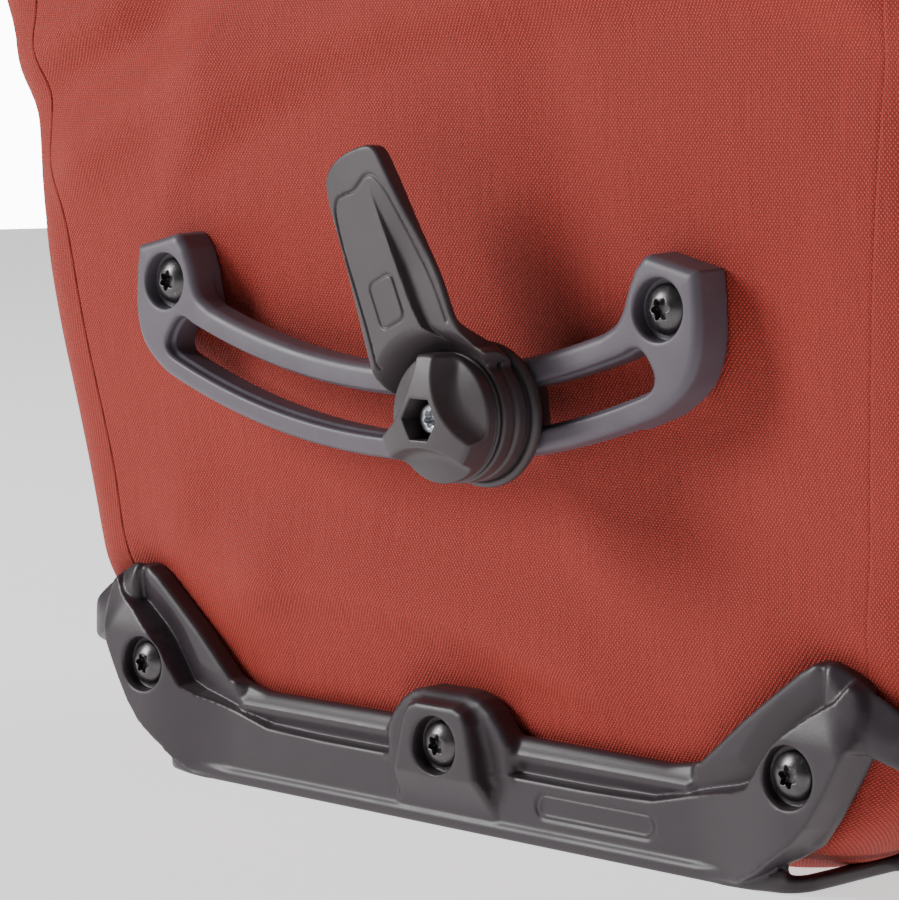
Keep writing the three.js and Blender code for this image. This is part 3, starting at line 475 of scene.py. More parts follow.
def build_anchor_carriage():
    grid = Grid((-17, -17, 10), (17, 17, 26.2), 0.3)
    u, v, h = grid.x, grid.z, grid.h
    radius = np.hypot(u, v)
    flange = soft_max(radius - FLANGE_RADIUS, between(h, *FLANGE), 1.5)
    flange = carve(flange, np.hypot(radius - 13.4, h - 25.5) - 0.6, 0.4)
    c, s = math.cos(ANCHOR_ANGLE), math.sin(ANCHOR_ANGLE)
    along, across = u * c + v * s, -u * s + v * c
    bow = across - along * along / (2 * RAIL_RADIUS)
    foot = soft_max(soft_max(abs(along) - 6.4, abs(bow) - 7, 1.5), between(h, *FOOT), 1.0)
    stem = np.maximum(np.maximum(abs(along) - 6.0, abs(bow) - 3.9), between(h, 14.3, 23.5))
    field = np.minimum(soft_min(flange, stem, 0.8), foot)
    field = np.maximum(field, np.where(h > FOOT[0] + 1.95, BOLT_HOLE - radius, -5))
    return moulded_field("anchor_carriage_moulding", grid, field, **ON_ANCHOR)


def build_anchor_bolt():
    """The bright screw end seen in the knob's well, with its six-lobed socket."""
    grid = Grid((-3.6, -3.6, 12.6), (3.6, 3.6, 41), 0.16)
    u, v, h = grid.x, grid.z, grid.h
    radius = np.hypot(u, v)
    ridge = 0.16 * abs(((h * 1.25) % 1) - 0.5)
    shank = soft_max(radius - 2.75 - ridge, between(h, 13.0, 40.2), 0.5)
    head = soft_max(radius - 3.15, between(h, 37.6, 40.2), 0.5)
    field = carve(np.minimum(shank, head), np.maximum(six_lobes(u, v, 1.9), 38.2 - h), 0.2)
    return moulded_field("anchor_bolt_end", grid, field, turn=0.3, **ON_ANCHOR)


# ---- edge protector -------------------------------------------------------------------------

GUARD_FACE = 4.0
GUARD_TIER = 9.0
GUARD_BACK = -1.0
WING_TOP = (
    (60, 21.8), (66, 22.8), (70.4, 24.2), (76, 29.4), (81.5, 34.4), (87.3, 39.1), (95.6, 45.7),
    (99.2, 47.8), (102.2, 47.9), (105.5, 46.8), (108.6, 45.4), (111, 43.8),
)
WING_END = (
    (112.4, 40), (112.5, 34), (111.6, 31), (108.4, 25), (103.9, 17.2), (99.5, 11), (94.4, 7.8), (90.6, 5.8),
    (89.6, 2.2),
)
FACE_OUTLINE = (
    (-5, 14.4), (40, 14.4), (57.6, 14.9), (66, 16.9), (74.9, 19.1), (80, 20.2), (84.4, 21.8), (87.6, 26.2),
    (91.2, 30.9), (94.4, 34), (100.2, 38.4), (105.6, 41.6), (109, 46), (122, 46), (122, 31.2), (110.9, 31.2),
    (109.1, 27.6), (105.7, 21.2), (101.9, 15.2), (97.9, 10.9), (92.4, 6.8), (87.6, 3.4), (82, 0.6), (-5, 0.4),
)
MIDDLE_OUTER = (
    (-19.6, 12), (-19.2, 20.6), (-16.8, 24.6), (-14, 27.8), (-10.6, 30), (-6.5, 31),
    (6.5, 31), (10.6, 30), (14, 27.8), (16.8, 24.6), (19.2, 20.6), (19.6, 12),
)
MIDDLE_INNER = (
    (-13.4, 3), (-12.8, 10), (-11.2, 17.6), (-9.6, 24.2), (-8.2, 26.6), (-5.6, 27.6),
    (5.6, 27.6), (8.2, 26.6), (9.6, 24.2), (11.2, 17.6), (12.8, 10), (13.4, 3),
)
BADGE_CENTRE = (42.5, 8.7)
BADGE_HALF = 13.8
BADGE_RADIUS = 2.9
BAND_PATH = (
    (104, -3.4), (110, -3.6), (115.5, -2.4), (119.8, 0), (122.8, 4.5), (124, 11), (123.6, 19), (122.8, 27),
    (121.8, 36),
)
BAND_RUN = (0, 4, 8, 12, 16.5, 21.5, 28, 54)         # distances along the band
BAND_TOP = (48.4, 46.9, 45.0, 42.6, 39.0, 35.2, 32.2, 31)
BAND_FOOT = (33, 32.4, 31.6, 30, 28.2, 26.4, 25.4, 24)
BAND_HALF_THICK = 1.8
BAND_FRONT = 4.8                 # where the tiers meet it
BAND_LIMIT = 5.2                 # it comes no further out than this
LIP_PATH = ((78, -2.4), (86, -2.3), (91, -1.2), (93.4, 2.4), (93.9, 9), (94, 20), (94.4, 35))
LIP_HEIGHT = (0.1, 3.3)
RIB_PATH = ((93.6, 2.2), (100, 2.8), (106, 5.2), (112.5, 9.8), (118.5, 17), (121.8, 26))   # x and z
RIB_DEPTH = (31.0, 36.2)         # behind the datum plane


def protector_front(grid):
    """How far out the protector's front stands at each x and z."""
    x, z = abs(grid.x[:, :, 0]), grid.z[:, :, 0]
    face = outline_distance(FACE_OUTLINE, x, z)
    rim = 2.2 + 0.34 * np.clip(face - 0.6, 0, 5.6) * (1 - smoothstep(x, 98, 106))
    bead = 1.5 + 1.8 * np.exp(-((z - 18.4) / 2.1) ** 2)
    bar = 1 - smoothstep(x, 66.5, 69.5)
    border = rim * (1 - bar) + bead * bar
    lift = 4.8 * smoothstep(x, 68, 97) * (1 - 0.5 * smoothstep(z, 31, 43))
    tier = GUARD_FACE + lift
    tier = tier + (BAND_FRONT - tier) * smoothstep(x + 0.5 * (z - 38), 104, 117)
    edge = smoothstep(-face, -0.4, 0.9)
    return border + (np.maximum(tier, border) - border) * edge


def middle_boss(grid):
    outer = standing(MIDDLE_OUTER, grid.x, grid.z)
    inner = standing(MIDDLE_INNER, grid.x, grid.z)
    shoulder = 5.6 - 0.05 * np.maximum(-outer, 0) - 0.1 * np.maximum(24 - grid.z, 0)
    low = soft_max(soft_max(outer + 0.6, grid.h - shoulder, 2.6), GUARD_BACK - grid.h, 0.5)
    draft = 0.22 * (GUARD_TIER - grid.h)
    top = GUARD_TIER - 0.62 * np.maximum(12.2 - grid.z, 0)
    high = soft_max(soft_max(inner - draft, grid.h - top, 1.4), GUARD_BACK - grid.h, 0.5)
    return soft_min(low, high, 1.6)


def eyelet(grid):
    """The band that turns the corner, the lip that runs back, and the rib that ties them under the bag."""
    x, depth = abs(grid.x[:, 0, :]), -grid.h[0, :, :] + 0 * grid.x[:, 0, :]
    wide, z = abs(grid.x), grid.z
    band, along = path_distance(spline(BAND_PATH, 5), x, depth)
    run = along * BAND_RUN[-1]
    top = np.interp(run, BAND_RUN, BAND_TOP)[:, None, :]
    foot = np.interp(run, BAND_RUN, BAND_FOOT)[:, None, :]
    band = soft_max(band[:, None, :] - BAND_HALF_THICK, np.maximum(z - top, foot - z) * 0.85, 1.5)
    above_crest = (wide - 100.4) * 0.68 + (z - 48.2) * 0.73
    band = soft_max(band, (grid.h - BAND_LIMIT) * 0.8 + 0.5 * above_crest, 1.0)
    lip = path_distance(spline(LIP_PATH, 5), x, depth)[0][:, None, :]
    lip = soft_max(lip - 1.7, between(z, *LIP_HEIGHT), 1.0)
    rib = path_distance(spline(RIB_PATH, 5), wide[:, :, 0], z[:, :, 0])[0][:, :, None]
    rib = soft_max(rib - 1.6, between(-grid.h, *RIB_DEPTH), 1.2)
    return soft_min(soft_min(band, rib, 2.0), lip, 1.5)


def protector_badge(grid):
    """A recessed round-ended panel with a fine raised rim, left plain."""
    x, z = grid.x[:, :, 0], grid.z[:, :, 0]
    along = np.maximum(abs(x - BADGE_CENTRE[0]) - BADGE_HALF, 0)
    return (np.hypot(along, z - BADGE_CENTRE[1]) - BADGE_RADIUS)[:, :, None]


def build_edge_protector():
    grid = Grid((-127.5, -0.6, -39.5), (127.5, 50, 11), 0.45)
    wide, z, h = abs(grid.x), grid.z, grid.h
    side = standing([(-5, 22.2), *WING_TOP, *WING_END, (84, 0.8), (-5, 0.8)], wide, z)
    front = protector_front(grid)[:, :, None]
    body = soft_max(soft_max(side - 0.06 * (GUARD_FACE - h), h - front, 1.6), GUARD_BACK - h, 0.6)
    lip_front = 4.9 - 1.4 * smoothstep(wide, 76, 92)
    lip_rise = 0.02 * np.maximum(wide - 80, 0) ** 2 * smoothstep(h, -1, 3)
    lip = soft_max(between(z - lip_rise, -0.05, 2.65), between(h, -4, lip_front), 0.8)
    lip = soft_max(lip, wide - 92, 1.8)
    for addition, fillet in ((lip, 1.8), (middle_boss(grid), 1.6), (eyelet(grid), 1.2)):
        body = soft_min(body, addition, fillet)
    for screw_x, screw_z in GUARD_SCREWS:
        screw = np.hypot(grid.x - screw_x, z - screw_z)
        recess = np.maximum(screw - RECESS_RADIUS, GUARD_TIER - RECESS_DEPTH - h)
        body = np.maximum(carve(body, recess, 1.0), SCREW_HOLE - screw)
    badge = protector_badge(grid)
    body = np.maximum(body, np.minimum(-badge, h - GUARD_FACE + 0.45))
    rim = np.maximum(abs(badge + 0.9) - 0.22, between(h, GUARD_FACE - 0.8, GUARD_FACE - 0.2))
    body = np.minimum(body, rim)
    return moulded_field("edge_protector_moulding", grid, body)


# ---- nuts -----------------------------------------------------------------------------------

NUT_CORNER = 5.7
NUT_THICK = 4.0


def nut_mesh():
    """A hexagon nut with chamfered corners and a threaded bore, looking along +h."""
    grid = Grid((-6.2, -6.2, -0.5), (6.2, 6.2, 4.6), 0.16)
    x, z, h = grid.x, grid.z, grid.h
    radius = np.hypot(x, z)
    body = soft_max(hexagon(x, z, NUT_CORNER * 0.866), between(h, 0, NUT_THICK), 0.25)
    chamfer = radius + 1.7 * abs(h - NUT_THICK / 2) - NUT_CORNER - 2.1
    body = soft_max(body, chamfer * 0.5, 0.2)
    thread = 2.9 + 0.22 * abs(((h / 0.8) % 1) - 0.5) + 0.5 * np.maximum(abs(h - 2) - 1.5, 0)
    points, _, quads = grid.surface(carve(body, radius - thread, 0.1))
    return points, quads


def build_nuts():
    mesh = nut_mesh()
    nuts = {}
    for i, node in enumerate(sorted(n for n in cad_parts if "_nut_" in n)):
        low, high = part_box(node)
        middle = (low + high) / 2 / MM
        nuts[node] = fastener(f"{node}_body", mesh, middle.x, middle.z, BACK_Y - high.y / MM, 0.4 * i)
    return nuts


# ---- fabric body ----------------------------------------------------------------------------

CLOTH = 0.65                     # coated fabric
LAP = 0.08                       # step where one panel is welded over another
TUCK = 0.75                      # how far the panel beneath sinks at the weld
TRAY_LAP = 1.6                   # the tray and the collar lie over both panels
SEAM = 104.6                     # the wrap panel's edge on the rack side, at the floor
BACK_HALF = BASE_HALF_WIDTH - REAR_RADIUS
REAR_ARC = REAR_RADIUS * math.pi / 2
SIDE_RUN = BAG_DEPTH - REAR_RADIUS - STREET_RADIUS
STREET_ARC = STREET_RADIUS * math.pi / 2
FRONT_HALF = BASE_HALF_WIDTH - STREET_RADIUS
HALF_ROUND = BACK_HALF + REAR_ARC + SIDE_RUN + STREET_ARC + FRONT_HALF


def from_back(s):
    """Distance round the bag from the middle of its rack side, whichever way is shorter."""
    return np.minimum(abs(s), abs(2 * HALF_ROUND - s))


def half_width(z):
    return BASE_HALF_WIDTH + FLARE * z - PINCH * (1 - smoothstep(z, PINCH_FROM, PINCH_TO))


def bulge(z):
    along = np.clip((z - BULGE_START) / BULGE_SPAN, 0, 1)
    return BULGE_OFFSET + BULGE * np.sin(np.pi * along)


def plan_point(s):
    """Place and outward direction at a distance s round the bag from the middle of its rack side."""
    s = np.where(s > HALF_ROUND, s - 2 * HALF_ROUND, s)
    side, a = np.where(s < 0, -1.0, 1.0), np.abs(s)
    rear = np.clip((a - BACK_HALF) / REAR_RADIUS, 0, np.pi / 2)
    along = np.clip(a - BACK_HALF - REAR_ARC, 0, SIDE_RUN)
    street = np.clip((a - BACK_HALF - REAR_ARC - SIDE_RUN) / STREET_RADIUS, 0, np.pi / 2)
    front = np.clip(a - HALF_ROUND + FRONT_HALF, 0, None)
    x = np.minimum(a, BACK_HALF) + REAR_RADIUS * np.sin(rear) - STREET_RADIUS * (1 - np.cos(street)) - front
    y = BACK_Y + REAR_RADIUS * (1 - np.cos(rear)) + along + STREET_RADIUS * np.sin(street)
    turn = rear + street
    return side * x, y, side * np.sin(turn), -np.cos(turn)


def tray_inset(z):
    up = np.clip(z / TRAY_TOP, 0, 1)
    return TRAY_ROUNDING * (1 - np.sqrt(1 - (1 - up) ** 2))


def body_point(s, z, out=0.0):
    """The bag's surface at a distance round it and a height, moved outwards by out."""
    x, y, nx, ny = plan_point(s)
    inset = tray_inset(z)
    narrower = 1 + 0.6 * smoothstep(y - BACK_Y, 15, 95)
    x = x * (1 - inset * narrower / BASE_HALF_WIDTH)
    y = ROLL_Y + (y - ROLL_Y) * (1 - 0.4 * inset / (BAG_DEPTH / 2))
    near_back = np.clip(1 - (y - BACK_Y) / 60, 0, 1)
    x = x * half_width(z) / BASE_HALF_WIDTH + nx * out
    y = y - bulge(z) * near_back + ny * out
    return np.stack(np.broadcast_arrays(x, y, z), axis=-1)


def crease(x, z, start, end, width, height):
    """A soft ridge, or a groove if height is negative, that fades towards its ends."""
    ax, az = start
    ex, ez = end[0] - ax, end[1] - az
    length = math.hypot(ex, ez)
    t = ((x - ax) * ex + (z - az) * ez) / length ** 2
    across = ((x - ax) * ez - (z - az) * ex) / length
    fade = np.exp(-(np.maximum(abs(t - 0.5) - 0.3, 0) / 0.25) ** 2)
    return height * fade * np.exp(-(across / width) ** 2)


def rumple(s, z, size, seed):
    """Smooth uneven swelling, about 1 either way, with bumps of about the given size."""
    rng = np.random.default_rng(seed)
    total = 0.0
    for _ in range(7):
        angle, phase = rng.uniform(0, 2 * math.pi, 2)
        reach = size * rng.uniform(0.7, 1.6)
        total = total + np.sin((s * math.cos(angle) + z * math.sin(angle)) * 2 * math.pi / reach + phase)
    return total / 3


GUARD_EDGE = [(-5, 22.4), *WING_TOP, *WING_END, (84, -6), (-5, -6)]

# (start, end, width, height) of the soft ridges and hollows on the rack side, at x and z
RACK_FOLDS = (
    ((-122, 140), (-52, 172), 8, 4.2),
    ((-150, 160), (-86, 182), 8, 3.8),
    ((-134, 156), (-74, 178), 6, -2.2),
    ((34, 172), (44, 128), 10, -1.6),
    ((-96, 66), (-54, 44), 12, 1.6),
    ((40, 62), (92, 52), 12, 1.2),
)
UPPER_FOLD = (
    (-88, 130), (-70, 146), (-50, 157), (-20, 167), (20, 174), (60, 179), (95, 178), (125, 170), (142, 158),
)
LOWER_FOLD = ((-84, 34), (-60, 43), (-30, 44), (0, 40), (30, 33), (62, 23))


def fold_step(path, x, z, drop, width):
    """The fabric falls back by drop where it passes below a path, and swells out again further on."""
    p = spline(path, 6)
    level = z - np.interp(x, p[:, 0], p[:, 1])
    reach = smoothstep(x, p[0, 0], p[0, 0] + 30) * smoothstep(-x, -p[-1, 0], 30 - p[-1, 0])
    fall = smoothstep(level, -width, width) * (1 - smoothstep(level, width, 6 * width))
    return drop * reach * fall


def rack_swell(x, z):
    """How far the rack side's fabric stands out beyond the plain bulge."""
    raised = 3.7 * (1 - smoothstep(z, 40, 75))
    folds = fold_step(UPPER_FOLD, x, z, 4.6, 7) + fold_step(LOWER_FOLD, x, z, 3.2, 5)
    for start, end, width, height in RACK_FOLDS:
        folds = folds + crease(x, z, start, end, width, height)
    folds = folds + 0.35 * rumple(x, z, 80, 3) + 0.15 * rumple(x, z, 34, 8)
    boss = 0.0
    for bx, bz in RAIL_SCREWS:
        boss = boss + np.exp(-(((x - bx) / 15) ** 2 + ((z - bz) / 15) ** 2) ** 2)
    out = bulge(z) + raised + folds * (1 - boss) * smoothstep(z, 24, 34)
    out = out + boss * (12.9 - out)
    slot = abs(np.hypot(x, z - RAIL_CENTRE_Z) - RAIL_RADIUS)
    under_rail = smoothstep(-slot, -20, -9) * (z < 140) * smoothstep(-abs(x), -74, -66)
    out = out - under_rail * np.maximum(out - 9.6, 0)
    guard = outline_distance(GUARD_EDGE, abs(x), z)
    middle = outline_distance(MIDDLE_OUTER, x, z)
    covered = np.minimum(guard, middle)
    beside_wing = smoothstep(abs(x), 96, 104) * (1 - smoothstep(z, 25, 33))
    out = out + 6.5 * beside_wing * smoothstep(covered, 0, 4)
    return soft_min(out, -1.5 + (0.55 + 0.9 * beside_wing) * np.maximum(covered, 0), 3.0) - bulge(z)


def side_swell(s, z):
    """Slack in the wrap panel: long soft waves, flat where it is welded to the rack side."""
    a = from_back(s)
    free = smoothstep(a, BACK_HALF, BACK_HALF + 46) * smoothstep(z, 30, 80)
    waves = 2.0 * rumple(s, z, 150, 5) + 1.0 * rumple(s, z, 62, 11) + 0.35 * rumple(s, z, 27, 21)
    belly = 5.0 * smoothstep(a, 240, 330) * np.sin(np.pi * np.clip(z / 330, 0, 1))
    tuck = np.exp(-((a - BACK_HALF - 16) / 22) ** 2) * smoothstep(a, BACK_HALF - 6, BACK_HALF + 12)
    pull = -4.2 * np.exp(-((z - 150) / 19) ** 2) + 2.6 * np.exp(-((z - 190) / 14) ** 2)
    return free * (waves + belly) + tuck * pull


def fabric_point(s, z, lap=0.0):
    x = plan_point(s)[0] * half_width(z) / BASE_HALF_WIDTH
    a = from_back(s)
    rack = 1 - smoothstep(a, BACK_HALF - 14, BACK_HALF + REAR_ARC)
    return body_point(s, z, lap + rack * rack_swell(x, z) + side_swell(s, z))


def grid_quads(rows, columns, wrap=False):
    i, j = np.meshgrid(np.arange(rows - 1), np.arange(columns if wrap else columns - 1), indexing="ij")
    a = i * columns + j
    b = i * columns + (j + 1) % columns
    return np.stack([a, b, b + columns, a + columns], axis=-1).reshape(-1, 4)


def add_threads(obj, threads):
    """The weave's own coordinates in threads, as an attribute of the mesh."""
    flat = np.zeros((len(obj.data.vertices), 3), np.float32)
    flat[:, :2] = np.asarray(threads).reshape(-1, 2)
    attribute = obj.data.attributes.new("thread", "FLOAT_VECTOR", "POINT")
    attribute.data.foreach_set("vector", flat.ravel())


def thicken(obj, thickness, offset=-1.0):
    modifier = obj.modifiers.new("thickness", "SOLIDIFY")
    modifier.thickness = thickness * MM
    modifier.offset = offset
    return obj


def woven(name, points, quads, threads):
    """A thin sheet whose faces look away from the middle of the bag."""
    obj = make_object(name, points.reshape(-1, 3), quads)
    add_threads(obj, threads)
    centre = Vector((0, ROLL_Y, 190)) * MM
    facing = sum(p.normal.dot(p.center - centre) * p.area for p in obj.data.polygons)
    if facing < 0:
        obj.data.flip_normals()
    return thicken(obj, CLOTH)


def build_back_panel():
    near_seam = np.array([SEAM - 0.3, SEAM + 0.7, SEAM + 3.4])
    columns = np.concatenate([-near_seam[::-1], np.arange(-103.5, 103.6, 1.5), near_seam])
    s, z = np.meshgrid(columns, np.arange(10, 330.1, 2.0))
    points = fabric_point(s, z, -TUCK * smoothstep(abs(s), SEAM - 0.3, SEAM + 0.7))
    threads = np.stack([points[..., 0] / THREAD_ACROSS, z / THREAD_UP], axis=-1)
    panel = woven("back_panel_cloth", points, grid_quads(*s.shape), threads)
    return panel


def build_wrap_panel():
    end = 2 * HALF_ROUND - SEAM
    columns = np.concatenate([[SEAM, SEAM + 0.6], np.linspace(SEAM + 1.6, end - 1.6, 298), [end - 0.6, end]])
    s, z = np.meshgrid(columns, np.arange(20, 330.1, 2.5))
    points = fabric_point(s, z, LAP)
    threads = np.stack([s * half_width(z) / BASE_HALF_WIDTH / THREAD_ACROSS, z / THREAD_UP], axis=-1)
    panel = woven("wrap_panel_cloth", points, grid_quads(*s.shape), threads)
    return panel


def build_base_panel():
    """The tray: an upturned edge, a rounded lower corner and the floor, as one sheet."""
    s = np.linspace(-HALF_ROUND, HALF_ROUND, 261)[:-1]
    edge = 18 + 20 * smoothstep(abs(s), 74, 98)
    rows, threads = [], []
    for t in np.linspace(0, 1, 6)[:-1]:
        z = edge + t * (16 - edge)
        rows.append(fabric_point(s, z, TRAY_LAP))
    phi_start = math.acos(1 - 16 / TRAY_TOP)
    for phi in np.linspace(phi_start, 0.0, 12):
        z = np.full(s.shape, TRAY_TOP * (1 - math.cos(phi)) + 0.05)
        lift = TRAY_LAP * math.sin(phi)
        swell = 1 - smoothstep(np.float64(phi), phi_start, 0.3)
        rows.append(body_point(s, z, lift) * (1 - swell) + fabric_point(s, z, lift) * swell)
    rim = rows[-1]
    for k in (0.94, 0.85, 0.74, 0.6, 0.45, 0.3, 0.15):
        ring = rim * (k, 1, 1)
        ring[:, 1] = ROLL_Y + (rim[:, 1] - ROLL_Y) * k
        ring[:, 2] = 0.05 + 1.2 * (1 - k) * (0.6 + 0.4 * rumple(ring[:, 0], ring[:, 1], 90, 4))
        rows.append(ring)
    points = np.stack(rows)
    quads = grid_quads(len(rows), len(s), wrap=True)
    centre = len(rows) * len(s)
    last = (len(rows) - 1) * len(s)
    fan = [(last + i, last + (i + 1) % len(s), centre) for i in range(len(s))]
    flat = np.vstack([points.reshape(-1, 3), [[0, ROLL_Y, 1.0]]])
    obj = make_object("base_panel_cloth", flat, quads, fan)
    along = np.concatenate([np.tile(s, len(rows)), [0]])
    threads = np.where(flat[:, 2:] > 6, np.stack([along, flat[:, 2] * 1.3], axis=1), flat[:, :2])
    add_threads(obj, threads / (THREAD_ACROSS, THREAD_UP))
    if sum(p.normal.z * p.area for p in obj.data.polygons if p.center.z < 0.002) > 0:
        obj.data.flip_normals()
    thicken(obj, CLOTH)
    return obj


GUSSET = 52.0                    # how deep the sleeve's sides fold in at the roll


def collar_point(s, z, up):
    x, y, nx, ny = plan_point(s)
    a = from_back(s)
    squeeze = 1 - 0.955 * np.minimum(1, up) ** 0.9
    near_back = np.clip(1 - (y - BACK_Y) / 60, 0, 1)
    y = y - bulge(WALL_TOP) * (1 - up) * near_back
    y = ROLL_Y + (y - ROLL_Y) * squeeze
    q = np.clip((a - BACK_HALF - REAR_ARC / 2) / (HALF_ROUND - FRONT_HALF - BACK_HALF - REAR_ARC), 0, 1)
    fold = GUSSET * np.clip(1 - abs(2 * q - 1), 0, 1) * up ** 1.3
    x = x * (1 - 0.05 * up) * half_width(WALL_TOP) / BASE_HALF_WIDTH - np.sign(x) * fold
    slack = up * (1 - up) * 4
    y = y + slack * ny * (2.2 * rumple(s, z * 1.5, 90, 14) + 1.1 * rumple(s, z, 36, 15) - 5.0)
    return np.stack(np.broadcast_arrays(x, y, z), axis=-1)


def build_collar():
    around = np.linspace(-HALF_ROUND, HALF_ROUND, 321)[:-1]
    s, z = np.meshgrid(around, np.linspace(WALL_TOP - 8, COLLAR_TOP + 1, 30))
    weld = WALL_TOP - 1
    points = collar_point(s, z, np.clip((z - weld) / (COLLAR_TOP - weld), 0, 1))
    below = fabric_point(s, np.minimum(z, WALL_TOP), TRAY_LAP)
    points = np.where((z < weld)[..., None], below, points)
    threads = np.stack([s * 1.3 / THREAD_ACROSS, z / THREAD_UP], axis=-1)
    collar = woven("collar_cloth", points, grid_quads(*s.shape, wrap=True), threads)
    return collar


def build_roll_top():
    """The closed mouth of the bag rolled up round its batten."""
    turns = 2.1
    angle = np.linspace(0, 2 * math.pi * turns, 150)
    radius = 12.2 - 3.9 * angle / angle[-1]
    y = ROLL_Y + radius * np.sin(angle - 0.2)
    z = ROLL_Z - 1.2 - radius * np.cos(angle - 0.2)
    z = z + 2.4 * np.sign(z - ROLL_Z) * smoothstep(abs(z - ROLL_Z), 0, 5)
    y = np.concatenate([[ROLL_Y - 3.2], y])
    z = np.concatenate([[COLLAR_TOP - 1.5], z])
    x = np.linspace(-151.5, 151.5, 121)
    grid_x, grid_y = np.meshgrid(x, y)
    grid_z = np.meshgrid(x, z)[1]
    slack = 0.35 * rumple(grid_x, grid_z * 2, 70, 31) + 0.25 * rumple(grid_x, grid_z, 26, 32)
    points = np.stack([grid_x, grid_y, grid_z + slack * 0.6], axis=-1)
    length = np.concatenate([[0], np.cumsum(np.hypot(np.diff(y), np.diff(z)))])
    threads = np.stack([grid_x / THREAD_ACROSS, np.meshgrid(x, length)[1] / THREAD_UP], axis=-1)
    roll = make_object("roll_top_cloth", points.reshape(-1, 3), grid_quads(*grid_x.shape))
    add_threads(roll, threads)
    thicken(roll, 2 * CLOTH, 0.0)
    return roll


def build_inner_pocket():
    low, high = (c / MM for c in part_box("inner_pocket"))
    x, z = np.meshgrid(np.linspace(low.x + 1, high.x - 1, 61), np.linspace(low.z + 1, high.z - 1, 61))
    edge = np.minimum(np.minimum(x - low.x, high.x - x), (z - low.z) * 1.2)
    belly = smoothstep(edge, 0, 34)
    y = high.y - 4.5 - bulge(z) + bulge(np.full(z.shape, 210.0)) + 2.6 * belly + 0.6 * rumple(x, z, 40, 41)
    points = np.stack([x, y, z], axis=-1)
    pocket = make_object("inner_pocket_cloth", points.reshape(-1, 3), grid_quads(*x.shape))
    add_threads(pocket, np.stack([x / 0.4, z / 0.4], axis=-1))
    thicken(pocket, 0.5, 0.0)
    return pocket


# ---- webbing --------------------------------------------------------------------------------

STRAP_WIDTH = 25.0
STRAP_THICK = 1.8
STRAP_Y = BACK_Y + BAG_DEPTH / 2


def strap(name, path, side, drift=None):
    """A strap whose path is drawn in x and z, with slightly crowned faces and bound edges."""
    line = spline(path, 14)
    tangent = np.gradient(line, axis=0)
    tangent /= np.linalg.norm(tangent, axis=1)[:, None]
    normal = np.stack([tangent[:, 1], -tangent[:, 0]], axis=1)
    length = np.concatenate([[0], np.cumsum(np.linalg.norm(np.diff(line, axis=0), axis=1))])
    half, thick = STRAP_WIDTH / 2, STRAP_THICK / 2
    upper = [(v, thick - 0.12 * (v / half) ** 2) for v in np.linspace(-half + 0.6, half - 0.6, 11)]
    rim = [(half - 0.15, thick * 0.55), (half, 0.0), (half - 0.15, -thick * 0.55)]
    lower = [(v, -w) for v, w in upper[::-1]]
    section = np.array(upper + rim + lower + [(-a, -b) for a, b in rim])
    rows, threads = [], []
    for (x, z), (nx, nz), run in zip(line, normal, length):
        shift = drift(z) if drift else 0.0
        across, out = section.T
        rows.append(np.stack([side * (x + nx * out), STRAP_Y + shift + across, z + nz * out], axis=-1))
        threads.append(np.stack([across, np.full(len(section), run)], axis=-1))
    points, count = np.concatenate(rows), len(section)
    quads = grid_quads(len(rows), count, wrap=True)
    ends = [np.arange(count)[::-1], np.arange(count) + (len(rows) - 1) * count]
    caps = [(end[i], end[i + 1], end[-2 - i], end[-1 - i]) for end in ends for i in range(count // 2 - 1)]
    obj = face_outwards(make_object(name, points, np.vstack([quads, caps])))
    add_threads(obj, np.concatenate(threads))
    return obj


BUCKLE_Z = 262.0
FEMALE_LENGTH = 34.0


def build_straps():
    straps = []
    top = BUCKLE_Z - FEMALE_LENGTH - 1
    foot = 44.0

    def drift(z):
        return -34 * np.clip((top - z) / (top - foot), 0, 1) ** 1.5

    for name, side in (("left", -1), ("right", 1)):
        rise = [(half_width(z) + 3.2, z) for z in (foot, 52.0, 60.0, 72.0, 120.0)]
        side_path = [*rise, (half_width(top) + 4.8, top)]
        low = strap(f"side_strap_{name}_webbing", side_path, side, drift)
        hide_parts(f"side_strap_{name}")
        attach(low, "root")
        tab_path = [(half_width(277) + 5, 277.0), (half_width(330) + 4, 330.0), (162.4, 365.0),
                    (158.6, 390.0), (155.6, 404.0)]
        tab = strap(f"closure_tab_{name}_webbing", tab_path, side)
        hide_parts(f"closure_tab_{name}")
        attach(tab, "root")
        straps += [low, tab]
        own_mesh(tab)
    return straps


# ---- materials ------------------------------------------------------------------------------

